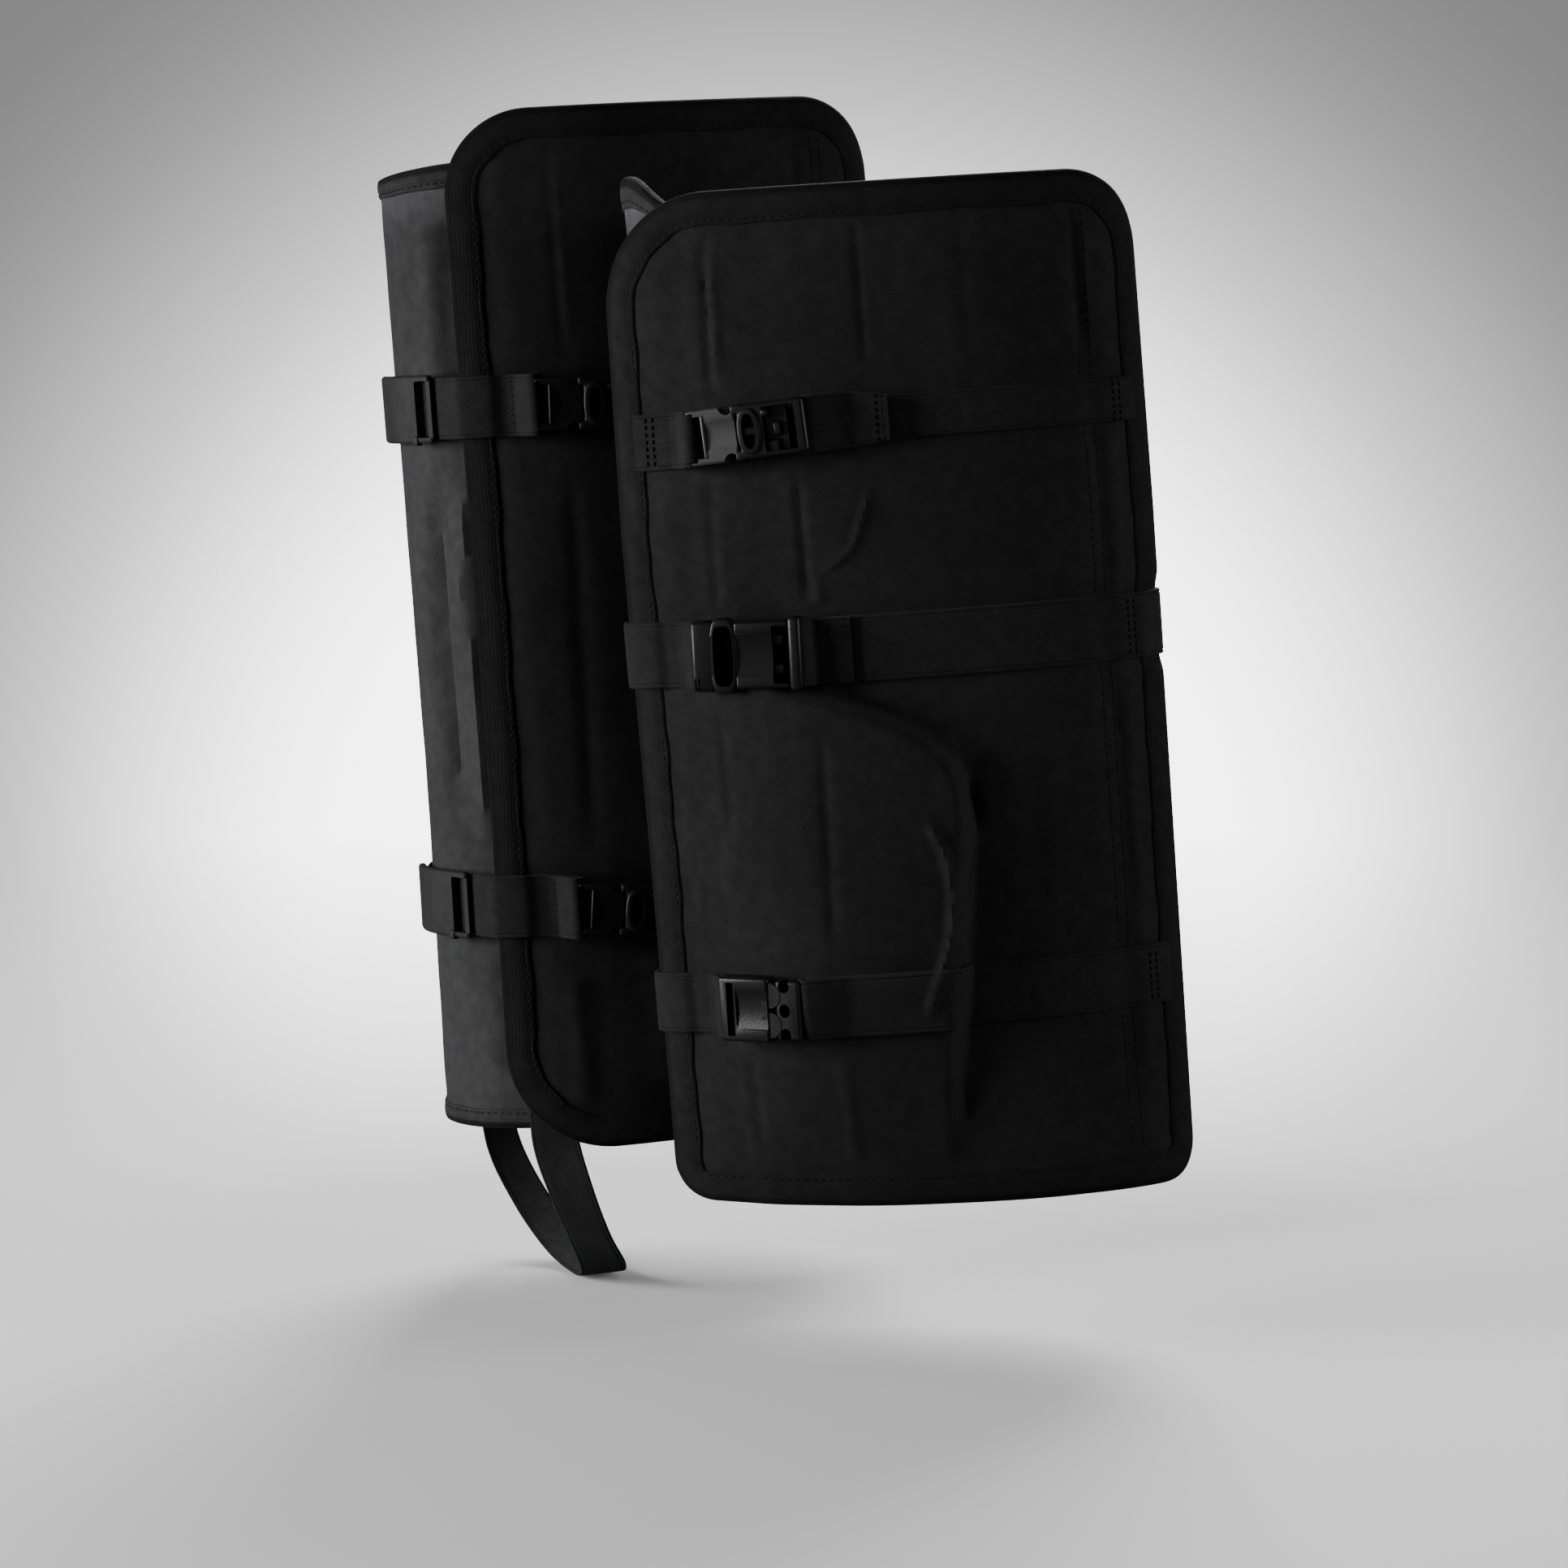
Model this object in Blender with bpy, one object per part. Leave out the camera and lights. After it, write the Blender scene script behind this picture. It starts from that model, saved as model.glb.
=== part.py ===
"""Pair of snake gaiters, worn: two hollow leg wraps, each closed by a bound outer flap.

Metres, +Z up. +X runs across the pair from shin side to calf side, -Y is the outer side
that the flaps face. The origin lies between the two legs, halfway up the gaiters.
Every cloth piece is made on one of two forms of its gaiter, the leg's and the flap's: a curve of
girth positions, and heights, moved out along the normal by the thickness of what lies beneath.
"""

import math
from bisect import bisect_right
from collections import namedtuple

import bmesh
import bpy
from mathutils import Matrix, Vector

# Cloth and webbing
WRAP_WALL = 0.003
FLAP_WALL = 0.004
TAPE_WALL = 0.001
TAPE_WIDTH = 0.012
TAPE_GAP = 0.0004
CORNER_EASE = 0.0007
CORNER_RUN = 0.004
WEB_WALL = 0.0018
WEB_WIDTH = 0.026
STIRRUP_WIDTH = 0.020
STIRRUP_WALL = 0.0014
SEAM_GAP = 0.0003

# Facets: how far a chord may lie inside the leg form
CHORD_ERROR = 0.0003
FLATTEST = 0.150
CORNER_STEP = math.radians(22.5)
ROW_GAP = 0.0012

# Corners of the wrap, and how far in from the flap's upper and lower edges their slant reaches
WRAP_CORNER = 0.0
SLANT_BAND = 0.060

# Where the flap is stitched down to the wrap
STITCH_INSET = 0.028
STITCH_HALF = 0.009
STITCH_END = 0.030

# Side-release buckle
BUCKLE_HEIGHT = 0.029
BUCKLE_DEPTH = 0.0085
SOCKET_LENGTH = 0.030
WINDOW_START = 0.004
WINDOW_END = 0.013
WINDOW_DEPTH = 0.0052
SLOT_OPENING = 0.003
LATCH_BASE = 0.015
PRONG_REACH = 0.019
PRONG_THICK = 0.0032
PRONG_FIT = 0.0005
BAR_WIDTH = 0.0035
SLOT_WIDTH = 0.0042
BUCKLE_WALL = 0.0019
BASE_HALF_DEPTH = 0.0036
PRONG_WIDTH = 0.0049
GUIDE_HALF = 0.002
PRONG_ROOT = 0.003
MOULDED_EDGE = 0.0011
SEAT_LIFT = 0.0030
CUT_PAST = 0.001

# How a strap climbs over the flap's tape, and how far it runs on past the flap at the calf
TAPE_CLIMB = 0.003
TAPE_LAP = 0.0006
CALF_TURN = 25

# Slide on the shin side of a strap
SLIDE_LENGTH = 0.018
SLIDE_WIDTH = 0.030
SLIDE_WALL = 0.0034

# Shading turns sharp past this angle between facets, in degrees
SMOOTH_ANGLE = 35

Ring = namedtuple("Ring", "height half_width half_depth centre")
Stand = namedtuple("Stand", "turn distance")
Flap = namedtuple("Flap", "first_turn last_turn low high low_left high_left top_radius low_radius free_radius")
Strap = namedtuple("Strap", "name height buckle over_right anchor_turn tail")
Swell = namedtuple("Swell", "across height reach rise fall depth edge")
Gaiter = namedtuple("Gaiter", "name place lean yaw calf_power rings wrap_low wrap_high overlap flap stands straps "
                              "swell stirrup")

# Fullness of the front gaiter's flap, below the middle strap
FRONT_SWELL = Swell(across=-0.040, height=0.118, reach=0.050, rise=0.070, fall=0.118, depth=0.009, edge=0.022)

FRONT = Gaiter(
    name="front", place=(0.0635, -0.020, -0.158), lean=4.0, yaw=0.0, calf_power=0.77,
    rings=(
        Ring(0.000, 0.0925, 0.0540, -0.0010),
        Ring(0.130, 0.0928, 0.0550, -0.0017),
        Ring(0.270, 0.0935, 0.0575, -0.0030),
        Ring(0.404, 0.0920, 0.0560, -0.0035),
    ),
    wrap_low=0.002, wrap_high=0.403, overlap=(-0.055, 0.050),
    flap=Flap(first_turn=-66, last_turn=68, low=0.0, high=0.401, low_left=0.006, high_left=0.0045,
              top_radius=0.031, low_radius=0.016, free_radius=0.016),
    stands=(Stand(-66, 0.0206), Stand(-45, 0.0132), Stand(-25, 0.0090), Stand(0, 0.0075),
            Stand(30, 0.0075), Stand(68, 0.0135)),
    straps=(
        Strap("upper", height=0.310, buckle=-0.074, over_right=0.0, anchor_turn=None, tail=0.026),
        Strap("middle", height=0.224, buckle=-0.083, over_right=0.030, anchor_turn=-150, tail=0.0),
        Strap("lower", height=0.086, buckle=-0.077, over_right=0.0, anchor_turn=-150, tail=0.046),
    ),
    swell=FRONT_SWELL, stirrup=False,
)

REAR = Gaiter(
    name="rear", place=(-0.0460, 0.118, -0.147), lean=3.5, yaw=30.0, calf_power=0.77,
    rings=(
        Ring(0.000, 0.1035, 0.0620, -0.0025),
        Ring(0.130, 0.1025, 0.0615, -0.0025),
        Ring(0.270, 0.1033, 0.0630, -0.0027),
        Ring(0.400, 0.1040, 0.0620, -0.0030),
    ),
    wrap_low=0.0, wrap_high=0.400, overlap=(-0.050, 0.032),
    flap=Flap(first_turn=-60, last_turn=45, low=-0.008, high=0.425, low_left=0.0, high_left=0.0,
              top_radius=0.034, low_radius=0.016, free_radius=0.043),
    stands=(Stand(-60, 0.0110), Stand(-35, 0.0085), Stand(0, 0.0075), Stand(20, 0.0075),
            Stand(45, 0.0120)),
    straps=(
        Strap("upper", height=0.302, buckle=-0.0775, over_right=0.0, anchor_turn=-160, tail=0.0),
        Strap("lower", height=0.088, buckle=-0.0745, over_right=0.0, anchor_turn=-160, tail=0.0),
    ),
    swell=None, stirrup=True,
)

# Under-foot strap of the rear gaiter: its middle line, the way round the leg that it faces,
# and how far it tips over (90 faces straight down)
Step = namedtuple("Step", "across depth height turn tip")
STIRRUP_ROUTE = (
    Step(-0.0840, -0.0430, 0.038, -35, 0),
    Step(-0.0845, -0.0436, 0.010, -34, 0),
    Step(-0.0841, -0.0440, -0.008, -36, 0),
    Step(-0.0795, -0.0465, -0.029, -46, 10),
    Step(-0.0700, -0.0415, -0.050, -48, 32),
    Step(-0.0570, -0.0260, -0.067, -30, 62),
    Step(-0.0470, 0.0000, -0.0755, -8, 88),
    Step(-0.0460, 0.0300, -0.070, 2, 105),
    Step(-0.0510, 0.0500, -0.052, 8, 130),
    Step(-0.0590, 0.0590, -0.026, 16, 160),
    Step(-0.0620, 0.0585, 0.002, 21, 178),
    Step(-0.0620, 0.0580, 0.030, 22, 180),
)


def smooth(value):
    """Ease a value from 0 to 1, flat at both ends."""
    value = min(1.0, max(0.0, value))
    return value * value * (3.0 - 2.0 * value)


class Form:
    """A surface that pieces are made on: girth positions round a plan curve, and heights.

    The curve runs over degrees of turn round the leg, from the outer side (0) towards the
    calf (+) and the shin (-). Its facets have corners at the stations.
    """

    first_turn = -180
    last_turn = 180
    closed = True

    def __init__(self, gaiter):
        self.gaiter = gaiter
        rings = gaiter.rings
        self.mean_height = rings[len(rings) // 2].height
        self.table = self.girth_table()
        self.girth = self.table[-1][0] - self.table[0][0]
        self.stations = self.make_stations()

    def ring_at(self, height):
        """Half width, half depth and centre of the leg's oval at a height."""
        rings = self.gaiter.rings
        height = min(max(height, rings[0].height), rings[-1].height)
        for low, high in zip(rings, rings[1:]):
            if height <= high.height:
                break
        part = (height - low.height) / (high.height - low.height)
        return [a + (b - a) * part for a, b in zip(low[1:], high[1:])]

    def oval(self, turn, height):
        """Point and outward normal of the leg's oval."""
        half_width, half_depth, centre = self.ring_at(height)
        sine, cosine = math.sin(math.radians(turn)), math.cos(math.radians(turn))
        power = self.gaiter.calf_power if sine > 0.0 and cosine > 0.0 else 1.0

        def raise_to(value, share):
            return math.copysign(abs(value) ** share, value)

        place = Vector((centre + half_width * raise_to(sine, power), -half_depth * raise_to(cosine, power), height))
        normal = Vector((raise_to(sine, 2.0 - power) / half_width, -raise_to(cosine, 2.0 - power) / half_depth, 0.0))
        return place, normal.normalized()

    def base(self, turn, height):
        """Point of the plan curve."""
        return self.oval(turn, height)[0]

    def outward(self, turn, height):
        """Normal of the plan curve, from its run over a degree."""
        along = self.base(turn + 0.5, height) - self.base(turn - 0.5, height)
        return Vector((along.y, -along.x, 0.0)).normalized()

    def girth_table(self):
        """Girth position at each degree of turn, 0 at the outer side."""
        turns = range(self.first_turn, self.last_turn + 1)
        places = [self.base(turn, self.mean_height) for turn in turns]
        travelled = [0.0]
        for before, after in zip(places, places[1:]):
            travelled.append(travelled[-1] + (after - before).length)
        start = travelled[-self.first_turn]
        return [(girth - start, float(turn)) for girth, turn in zip(travelled, turns)]

    def turn_at(self, girth):
        """Degrees of turn at a girth position; a closed curve may be followed past its ends."""
        laps = 0
        if self.closed:
            laps = math.floor((girth - self.table[0][0]) / self.girth)
        within = girth - laps * self.girth
        index = min(max(bisect_right(self.table, (within, 999.0)), 1), len(self.table) - 1)
        (low, low_turn), (high, high_turn) = self.table[index - 1], self.table[index]
        return low_turn + (high_turn - low_turn) * (within - low) / (high - low) + 360.0 * laps

    def girth_at(self, turn):
        """Girth position at a whole degree of turn."""
        return self.table[round(turn) - self.first_turn][0]

    def bend_radius(self, girth):
        """Radius of the plan curve at a girth position, up to FLATTEST."""
        turn = self.turn_at(girth)
        before = self.outward(turn - 2.0, self.mean_height)
        after = self.outward(turn + 2.0, self.mean_height)
        run = (self.base(turn + 2.0, self.mean_height) - self.base(turn - 2.0, self.mean_height)).length
        return min(run / max(before.angle(after), 0.001), FLATTEST)

    def walk(self, start, end):
        """Girth positions from start to end whose chords stay within CHORD_ERROR of the curve."""
        steps = [start]
        while steps[-1] < end:
            steps.append(steps[-1] + math.sqrt(8.0 * self.bend_radius(steps[-1]) * CHORD_ERROR))
        scale = (end - start) / (steps[-1] - start)
        return [start + (step - start) * scale for step in steps]

    def make_stations(self):
        """Corners of the facets, once round: the wrap's edges, its tape lines, and steps between."""
        start = self.gaiter.overlap[1]
        end = self.gaiter.overlap[0] + self.girth
        stations = [start] + self.walk(start + TAPE_WIDTH, end - TAPE_WIDTH)
        return stations + self.walk(end, start + self.girth)[:-1]

    def corner(self, girth, height, out):
        """A point of the smooth form, moved out along its normal."""
        turn = self.turn_at(girth)
        return self.base(turn, height) + self.outward(turn, height) * out

    def span(self, girth):
        """The two stations round a girth position, and how far it lies between them."""
        if not self.closed:
            index = min(max(bisect_right(self.stations, girth) - 1, 0), len(self.stations) - 2)
            low, high = self.stations[index:index + 2]
            return low, high, (girth - low) / (high - low)
        first = self.stations[0]
        laps = math.floor((girth - first) / self.girth)
        within = girth - laps * self.girth
        index = bisect_right(self.stations, within) - 1
        low = self.stations[index]
        high = self.stations[index + 1] if index + 1 < len(self.stations) else first + self.girth
        return low + laps * self.girth, high + laps * self.girth, (within - low) / (high - low)

    def raised(self, _girth, height):
        """Height of a point whose height is given on an even panel."""
        return height

    def point(self, girth, height, out):
        """A point of the faceted form, moved out."""
        low, high, part = self.span(girth)
        start, end = self.corner(low, height, out), self.corner(high, height, out)
        return start + (end - start) * part

    def stations_between(self, start, end):
        """start, every station between, and end."""
        laps = (-1, 0, 1) if self.closed else (0,)
        inside = [station + lap * self.girth for lap in laps for station in self.stations]
        margin = 0.0008
        return [start] + [station for station in sorted(inside) if start + margin < station < end - margin] + [end]


class FlapForm(Form):
    """The inner face of the flap, which stands off the leg's oval by the table of stands."""

    closed = False

    def __init__(self, gaiter):
        self.flap = gaiter.flap
        self.first_turn, self.last_turn = gaiter.flap.first_turn, gaiter.flap.last_turn
        super().__init__(gaiter)
        self.left, self.right = self.table[0][0], self.table[-1][0]

    def base(self, turn, height):
        """Point of the flap's inner face, before its fullness and its stitched trough."""
        place, normal = self.oval(turn, height)
        return place + normal * self.stand(turn)

    def make_stations(self):
        """Corners of the facets: the edges, the tape and stitch lines, and steps between them."""
        left, right = self.table[0][0], self.table[-1][0]
        stitch = right - STITCH_INSET
        lines = (left + TAPE_WIDTH, stitch - STITCH_HALF, stitch, stitch + STITCH_HALF, right - TAPE_WIDTH)
        stations = [left]
        for start, end in zip(lines, lines[1:]):
            stations += self.walk(start, end)[:-1]
        return stations + [lines[-1], right]

    def stand(self, turn):
        """Distance of the flap's inner face from the leg's oval."""
        stands = self.gaiter.stands
        turn = min(max(turn, stands[0].turn), stands[-1].turn)
        for low, high in zip(stands, stands[1:]):
            if turn <= high.turn:
                break
        part = (turn - low.turn) / (high.turn - low.turn)
        return low.distance + (high.distance - low.distance) * (part + smooth(part)) / 2.0

    def stitch_dip(self, girth, height):
        """Depth of the trough where the flap is stitched down to the wrap."""
        away = abs(girth - (self.right - STITCH_INSET)) / STITCH_HALF
        if away >= 1.0:
            return 0.0
        ends = min(height - self.flap.low, self.flap.high - height) / STITCH_END
        deepest = self.stand(self.turn_at(self.right - STITCH_INSET)) - WRAP_WALL - 3.0 * SEAM_GAP
        return deepest * (1.0 - smooth(away)) * smooth(ends - 0.7)

    def swell_edge(self, height):
        """Girth position of the right edge of the flap's fullness at a height."""
        swell = self.gaiter.swell
        above = (height - swell.height) / (swell.rise if height > swell.height else swell.fall)
        return swell.across + swell.reach * math.sqrt(max(0.0, 1.0 - min(1.0, abs(above)) ** 2.6))

    def swell(self, girth, height):
        """How far the flap's fullness stands out."""
        swell = self.gaiter.swell
        if swell is None:
            return 0.0
        across = smooth((self.swell_edge(height) - girth) / swell.edge + 0.5)
        left = smooth((girth - self.left - TAPE_WIDTH) / 0.060)
        upper = smooth((swell.height + swell.rise - height) / 0.050 + 0.3)
        lower = smooth((height - swell.height + swell.fall) / 0.080)
        return swell.depth * across * left * upper * lower

    def relief(self, girth, height):
        """Offset of the flap's inner face at a corner of the facets."""
        return self.swell(girth, height) - self.stitch_dip(girth, height)

    def inner(self, girth, height):
        """Offset of the flap's inner face, straight between the corners of the facets."""
        low, high, part = self.span(girth)
        start, end = self.relief(low, height), self.relief(high, height)
        return start + (end - start) * part

    def outer(self, girth, height):
        """Offset of the flap's outer face."""
        return self.inner(girth, height) + FLAP_WALL

    def raised(self, girth, height):
        """Height on a flap whose upper and lower edges rise towards the free edge."""
        flap = self.flap
        across = (self.right - girth) / (self.right - self.left)
        upper = max(0.0, (height - flap.high + SLANT_BAND) / SLANT_BAND)
        lower = max(0.0, (flap.low + SLANT_BAND - height) / SLANT_BAND)
        return height + flap.high_left * upper * across + flap.low_left * lower * across ** 2


def zip_rows(low, high, low_keys, high_keys):
    """Triangles between two rows of vertices, stepping along whichever row is behind."""
    faces = []
    i = j = 0
    while i < len(low) - 1 or j < len(high) - 1:
        if j == len(high) - 1 or (i < len(low) - 1 and low_keys[i + 1] <= high_keys[j + 1] + 1e-7):
            faces.append((low[i], low[i + 1], high[j]))
            i += 1
        else:
            faces.append((low[i], high[j + 1], high[j]))
            j += 1
    return faces


def add_object(name, mesh, material, parent):
    """Put a mesh in the scene as a named piece under an empty."""
    piece = bpy.data.objects.new(name, mesh)
    bpy.context.collection.objects.link(piece)
    mesh.materials.append(material)
    mesh.shade_smooth()
    mesh.set_sharp_from_angle(angle=math.radians(SMOOTH_ANGLE))
    piece.parent = parent
    return piece


def finish_mesh(name, bm):
    """Turn a closed bmesh outwards and hand back its mesh."""
    bmesh.ops.recalc_face_normals(bm, faces=bm.faces)
    mesh = bpy.data.meshes.new(name)
    bm.to_mesh(mesh)
    bm.free()
    return mesh


def sheet_mesh(name, form, rows, inner, outer):
    """A closed wall through rows of girth positions, between two offset functions.

    Each row is a pair: its heights, one for each girth position, and its girth positions.
    """
    bm = bmesh.new()
    sides = []
    for offset in (outer, inner):
        side = []
        for heights, girths in rows:
            side.append([bm.verts.new(form.point(g, z, offset(g, z))) for g, z in zip(girths, heights)])
        sides.append(side)
    front, back = sides
    for index in range(len(rows) - 1):
        keys = rows[index][1], rows[index + 1][1]
        for triangle in zip_rows(front[index], front[index + 1], *keys):
            bm.faces.new(triangle)
        for triangle in zip_rows(back[index], back[index + 1], *keys):
            bm.faces.new(triangle[::-1])
        for column in (0, -1):
            bm.faces.new((front[index][column], front[index + 1][column],
                          back[index + 1][column], back[index][column]))
    for row in (0, -1):
        for column in range(len(front[row]) - 1):
            bm.faces.new((front[row][column], front[row][column + 1],
                          back[row][column + 1], back[row][column]))
    return finish_mesh(name, bm)


def quarter(radius):
    """Steps round a quarter circle: distance gone along each of its two sides."""
    count = max(2, round(math.radians(90) / CORNER_STEP))
    angles = [math.radians(90) * step / count for step in range(count + 1)]
    return [(radius * (1.0 - math.cos(angle)), radius * (1.0 - math.sin(angle))) for angle in angles]


def corner_inset(radius, rise):
    """How far a rounded corner stands in from a panel's side, a height above the corner's start."""
    steps = quarter(radius)
    for (below, wide), (above, narrow) in zip(steps, steps[1:]):
        if rise <= above:
            return wide + (narrow - wide) * (rise - below) / (above - below)
    return 0.0


def flap_rows(form):
    """Rows of the flap from its lower edge to its upper edge, shorter where corners round off."""
    flap, gaiter = form.flap, form.gaiter
    inside = [ring.height for ring in gaiter.rings[1:-1]]
    for strap in gaiter.straps:
        inside += [strap.height - WEB_WIDTH / 2.0, strap.height + WEB_WIDTH / 2.0]
    if gaiter.swell:
        inside += [gaiter.swell.height + step for step in (-0.075, 0.0, 0.030, 0.060)]
    inside += [flap.low + STITCH_END * 1.7, flap.high - STITCH_END * 1.7]
    inside += [flap.low + rise for rise, _ in quarter(flap.low_radius) + quarter(flap.free_radius)]
    inside += [flap.high - drop for drop, _ in quarter(flap.top_radius)]
    heights = []
    for height in sorted(inside):
        if not heights or height - heights[-1] > ROW_GAP:
            heights.append(height)
    rows = []
    for height in heights:
        upper = corner_inset(flap.top_radius, flap.high - height)
        left = form.left + upper + corner_inset(flap.free_radius, height - flap.low)
        right = form.right - upper - corner_inset(flap.low_radius, height - flap.low)
        girths = form.stations_between(left, right)
        rows.append(([form.raised(girth, height) for girth in girths], girths))
    return rows


def rounded_outline(form, left, right, low, high, low_radius, free_radius, top_radius, side_heights):
    """Closed outline of a panel with rounded corners, where `free_radius` rounds the lower left one.

    Each point is its girth, its height, the way inwards, the point one tape width inside it,
    and whether the tape bunches there. A corner sharper than the tape is mitred.
    """
    outline = []

    def mark(girth, height, inward, leaf, bunched):
        leaf = leaf[0], form.raised(*leaf)
        outline.append((girth, form.raised(girth, height), inward, leaf, bunched))

    def straight(girth, height, inward):
        leaf = girth + inward[0] * TAPE_WIDTH, height + inward[1] * TAPE_WIDTH
        mark(girth, height, inward, leaf, False)

    def arc(girth, height, radius, start):
        steps = max(2, round(math.radians(90) / CORNER_STEP))
        reach = radius - TAPE_WIDTH
        for step in range(steps + 1):
            angle = math.radians(start + 90.0 * step / steps)
            out = math.cos(angle), math.sin(angle)
            leaf = girth + reach * out[0], height + reach * out[1]
            if reach < 0.0:
                middle = math.radians(start + 45.0)
                leaf = (girth + reach * math.copysign(1.0, math.cos(middle)),
                        height + reach * math.copysign(1.0, math.sin(middle)))
            mark(girth + radius * out[0], height + radius * out[1], (-out[0], -out[1]), leaf, True)

    def across(left_radius, right_radius):
        ends = max(left_radius, TAPE_WIDTH), max(right_radius, TAPE_WIDTH)
        girths = form.stations_between(left + ends[0], right - ends[1])
        return girths[0 if left_radius < TAPE_WIDTH else 1:len(girths) if right_radius < TAPE_WIDTH else -1]

    def side(radius):
        lowest = low + max(radius, TAPE_WIDTH) + CORNER_RUN
        highest = high - max(top_radius, TAPE_WIDTH) - CORNER_RUN
        return [lowest] + [height for height in side_heights if lowest < height < highest] + [highest]

    for girth in across(free_radius, low_radius):
        straight(girth, low, (0.0, 1.0))
    arc(right - low_radius, low + low_radius, low_radius, -90.0)
    for height in side(low_radius):
        straight(right, height, (-1.0, 0.0))
    arc(right - top_radius, high - top_radius, top_radius, 0.0)
    for girth in reversed(across(top_radius, top_radius)):
        straight(girth, high, (0.0, -1.0))
    arc(left + top_radius, high - top_radius, top_radius, 90.0)
    for height in reversed(side(free_radius)):
        straight(left, height, (1.0, 0.0))
    arc(left + free_radius, low + free_radius, free_radius, 180.0)
    return outline


def binding_mesh(name, form, outline, inner, outer):
    """Tape folded over a panel's edge: a U section carried round the outline."""
    bm = bmesh.new()
    rings = []
    for girth, height, inward, leaf, bunched in outline:
        gap = TAPE_GAP + (CORNER_EASE if bunched else 0.0)
        near = (girth - inward[0] * TAPE_GAP, height - inward[1] * TAPE_GAP)
        reach = TAPE_GAP + TAPE_WALL
        far = (girth - inward[0] * reach, height - inward[1] * reach)
        edge_out, edge_in = outer(girth, height) + gap, inner(girth, height) - gap
        leaf_out, leaf_in = outer(*leaf) + gap, inner(*leaf) - gap
        section = (
            (leaf, leaf_out), (leaf, leaf_out + TAPE_WALL), (far, edge_out + TAPE_WALL),
            (far, edge_in - TAPE_WALL), (leaf, leaf_in - TAPE_WALL), (leaf, leaf_in),
            (near, edge_in), (near, edge_out),
        )
        rings.append([form.point(*place, out) for place, out in section])
    welded = {}

    def vertex(place):
        key = tuple(round(value, 7) for value in place)
        if key not in welded:
            welded[key] = bm.verts.new(place)
        return welded[key]

    for ring, after in zip(rings, rings[1:] + rings[:1]):
        for column in range(len(ring)):
            beside = (column + 1) % len(ring)
            corners = [ring[column], after[column], after[beside], ring[beside]]
            loop = []
            for corner in map(vertex, corners):
                if corner not in loop:
                    loop.append(corner)
            if len(loop) > 2:
                bm.faces.new(loop)
    return finish_mesh(name, bm)


def band_mesh(name, height, path, width=WEB_WIDTH, wall=WEB_WALL):
    """A flat band at a height, along steps of a form, a girth position and an offset function."""
    low, high = height - width / 2.0, height + width / 2.0
    bm = bmesh.new()
    rings = []
    for form, girth, offset in path:
        ring = [form.point(girth, z, offset(girth, z) + out)
                for z, out in ((low, 0.0), (high, 0.0), (high, wall), (low, wall))]
        rings.append([bm.verts.new(place) for place in ring])
    for ring, after in zip(rings, rings[1:]):
        bm.faces.new((ring[0], ring[1], after[0]))
        bm.faces.new((ring[1], after[1], after[0]))
        bm.faces.new((ring[3], after[3], ring[2]))
        bm.faces.new((ring[2], after[3], after[2]))
        bm.faces.new((ring[1], ring[2], after[2], after[1]))
        bm.faces.new((ring[3], ring[0], after[0], after[3]))
    bm.faces.new(rings[0][::-1])
    bm.faces.new(rings[-1])
    return finish_mesh(name, bm)


def box_mesh(name, boxes):
    """Closed boxes, each given by its lowest and highest corner."""
    bm = bmesh.new()
    for low, high in boxes:
        size = [b - a for a, b in zip(low, high)]
        middle = [(a + b) / 2.0 for a, b in zip(low, high)]
        place = Matrix.Translation(middle) @ Matrix.Diagonal((*size, 1.0))
        bmesh.ops.create_cube(bm, size=1.0, matrix=place)
    mesh = bpy.data.meshes.new(name)
    bm.to_mesh(mesh)
    bm.free()
    return mesh


def add_cutter(name, boxes, parent):
    """A hidden box cutter for a Boolean."""
    cutter = bpy.data.objects.new(name, box_mesh(name, boxes))
    bpy.context.collection.objects.link(cutter)
    cutter.parent = parent
    cutter.hide_render = True
    cutter.display_type = "WIRE"
    return cutter


def add_bevel(piece, width):
    """Round the moulded edges with one cut face."""
    bevel = piece.modifiers.new("moulded edges", "BEVEL")
    bevel.width = width
    bevel.segments = 1
    bevel.limit_method = "ANGLE"


def add_cut(piece, cutter):
    """Cut a hidden shape out of a piece."""
    cut = piece.modifiers.new(cutter.name, "BOOLEAN")
    cut.operation = "DIFFERENCE"
    cut.object = cutter


def build_socket(name, seat, material):
    """Female half: a flat housing open towards the latch, with a bar for the webbing."""
    half = BUCKLE_HEIGHT / 2.0
    piece = add_object(name, box_mesh(name, [((0.0, -BUCKLE_DEPTH, -half), (SOCKET_LENGTH, 0.0, half))]),
                       material, seat)
    add_bevel(piece, MOULDED_EDGE)
    room = half - BUCKLE_WALL
    front, back = -BUCKLE_DEPTH - CUT_PAST, CUT_PAST
    cavity = ((-CUT_PAST, -BUCKLE_DEPTH + BUCKLE_WALL, -room), (PRONG_REACH + PRONG_FIT, -BUCKLE_WALL, room))
    windows = [((WINDOW_START, front, -half - CUT_PAST), (WINDOW_END, back, -half + WINDOW_DEPTH)),
               ((WINDOW_START, front, half - WINDOW_DEPTH), (WINDOW_END, back, half + CUT_PAST))]
    slot_end = SOCKET_LENGTH - BAR_WIDTH
    slot = ((slot_end - SLOT_OPENING, front, -room), (slot_end, back, room))
    add_cut(piece, add_cutter(name + "_room", [cavity], seat))
    add_cut(piece, add_cutter(name + "_windows", windows, seat))
    add_cut(piece, add_cutter(name + "_slot", [slot], seat))


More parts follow.
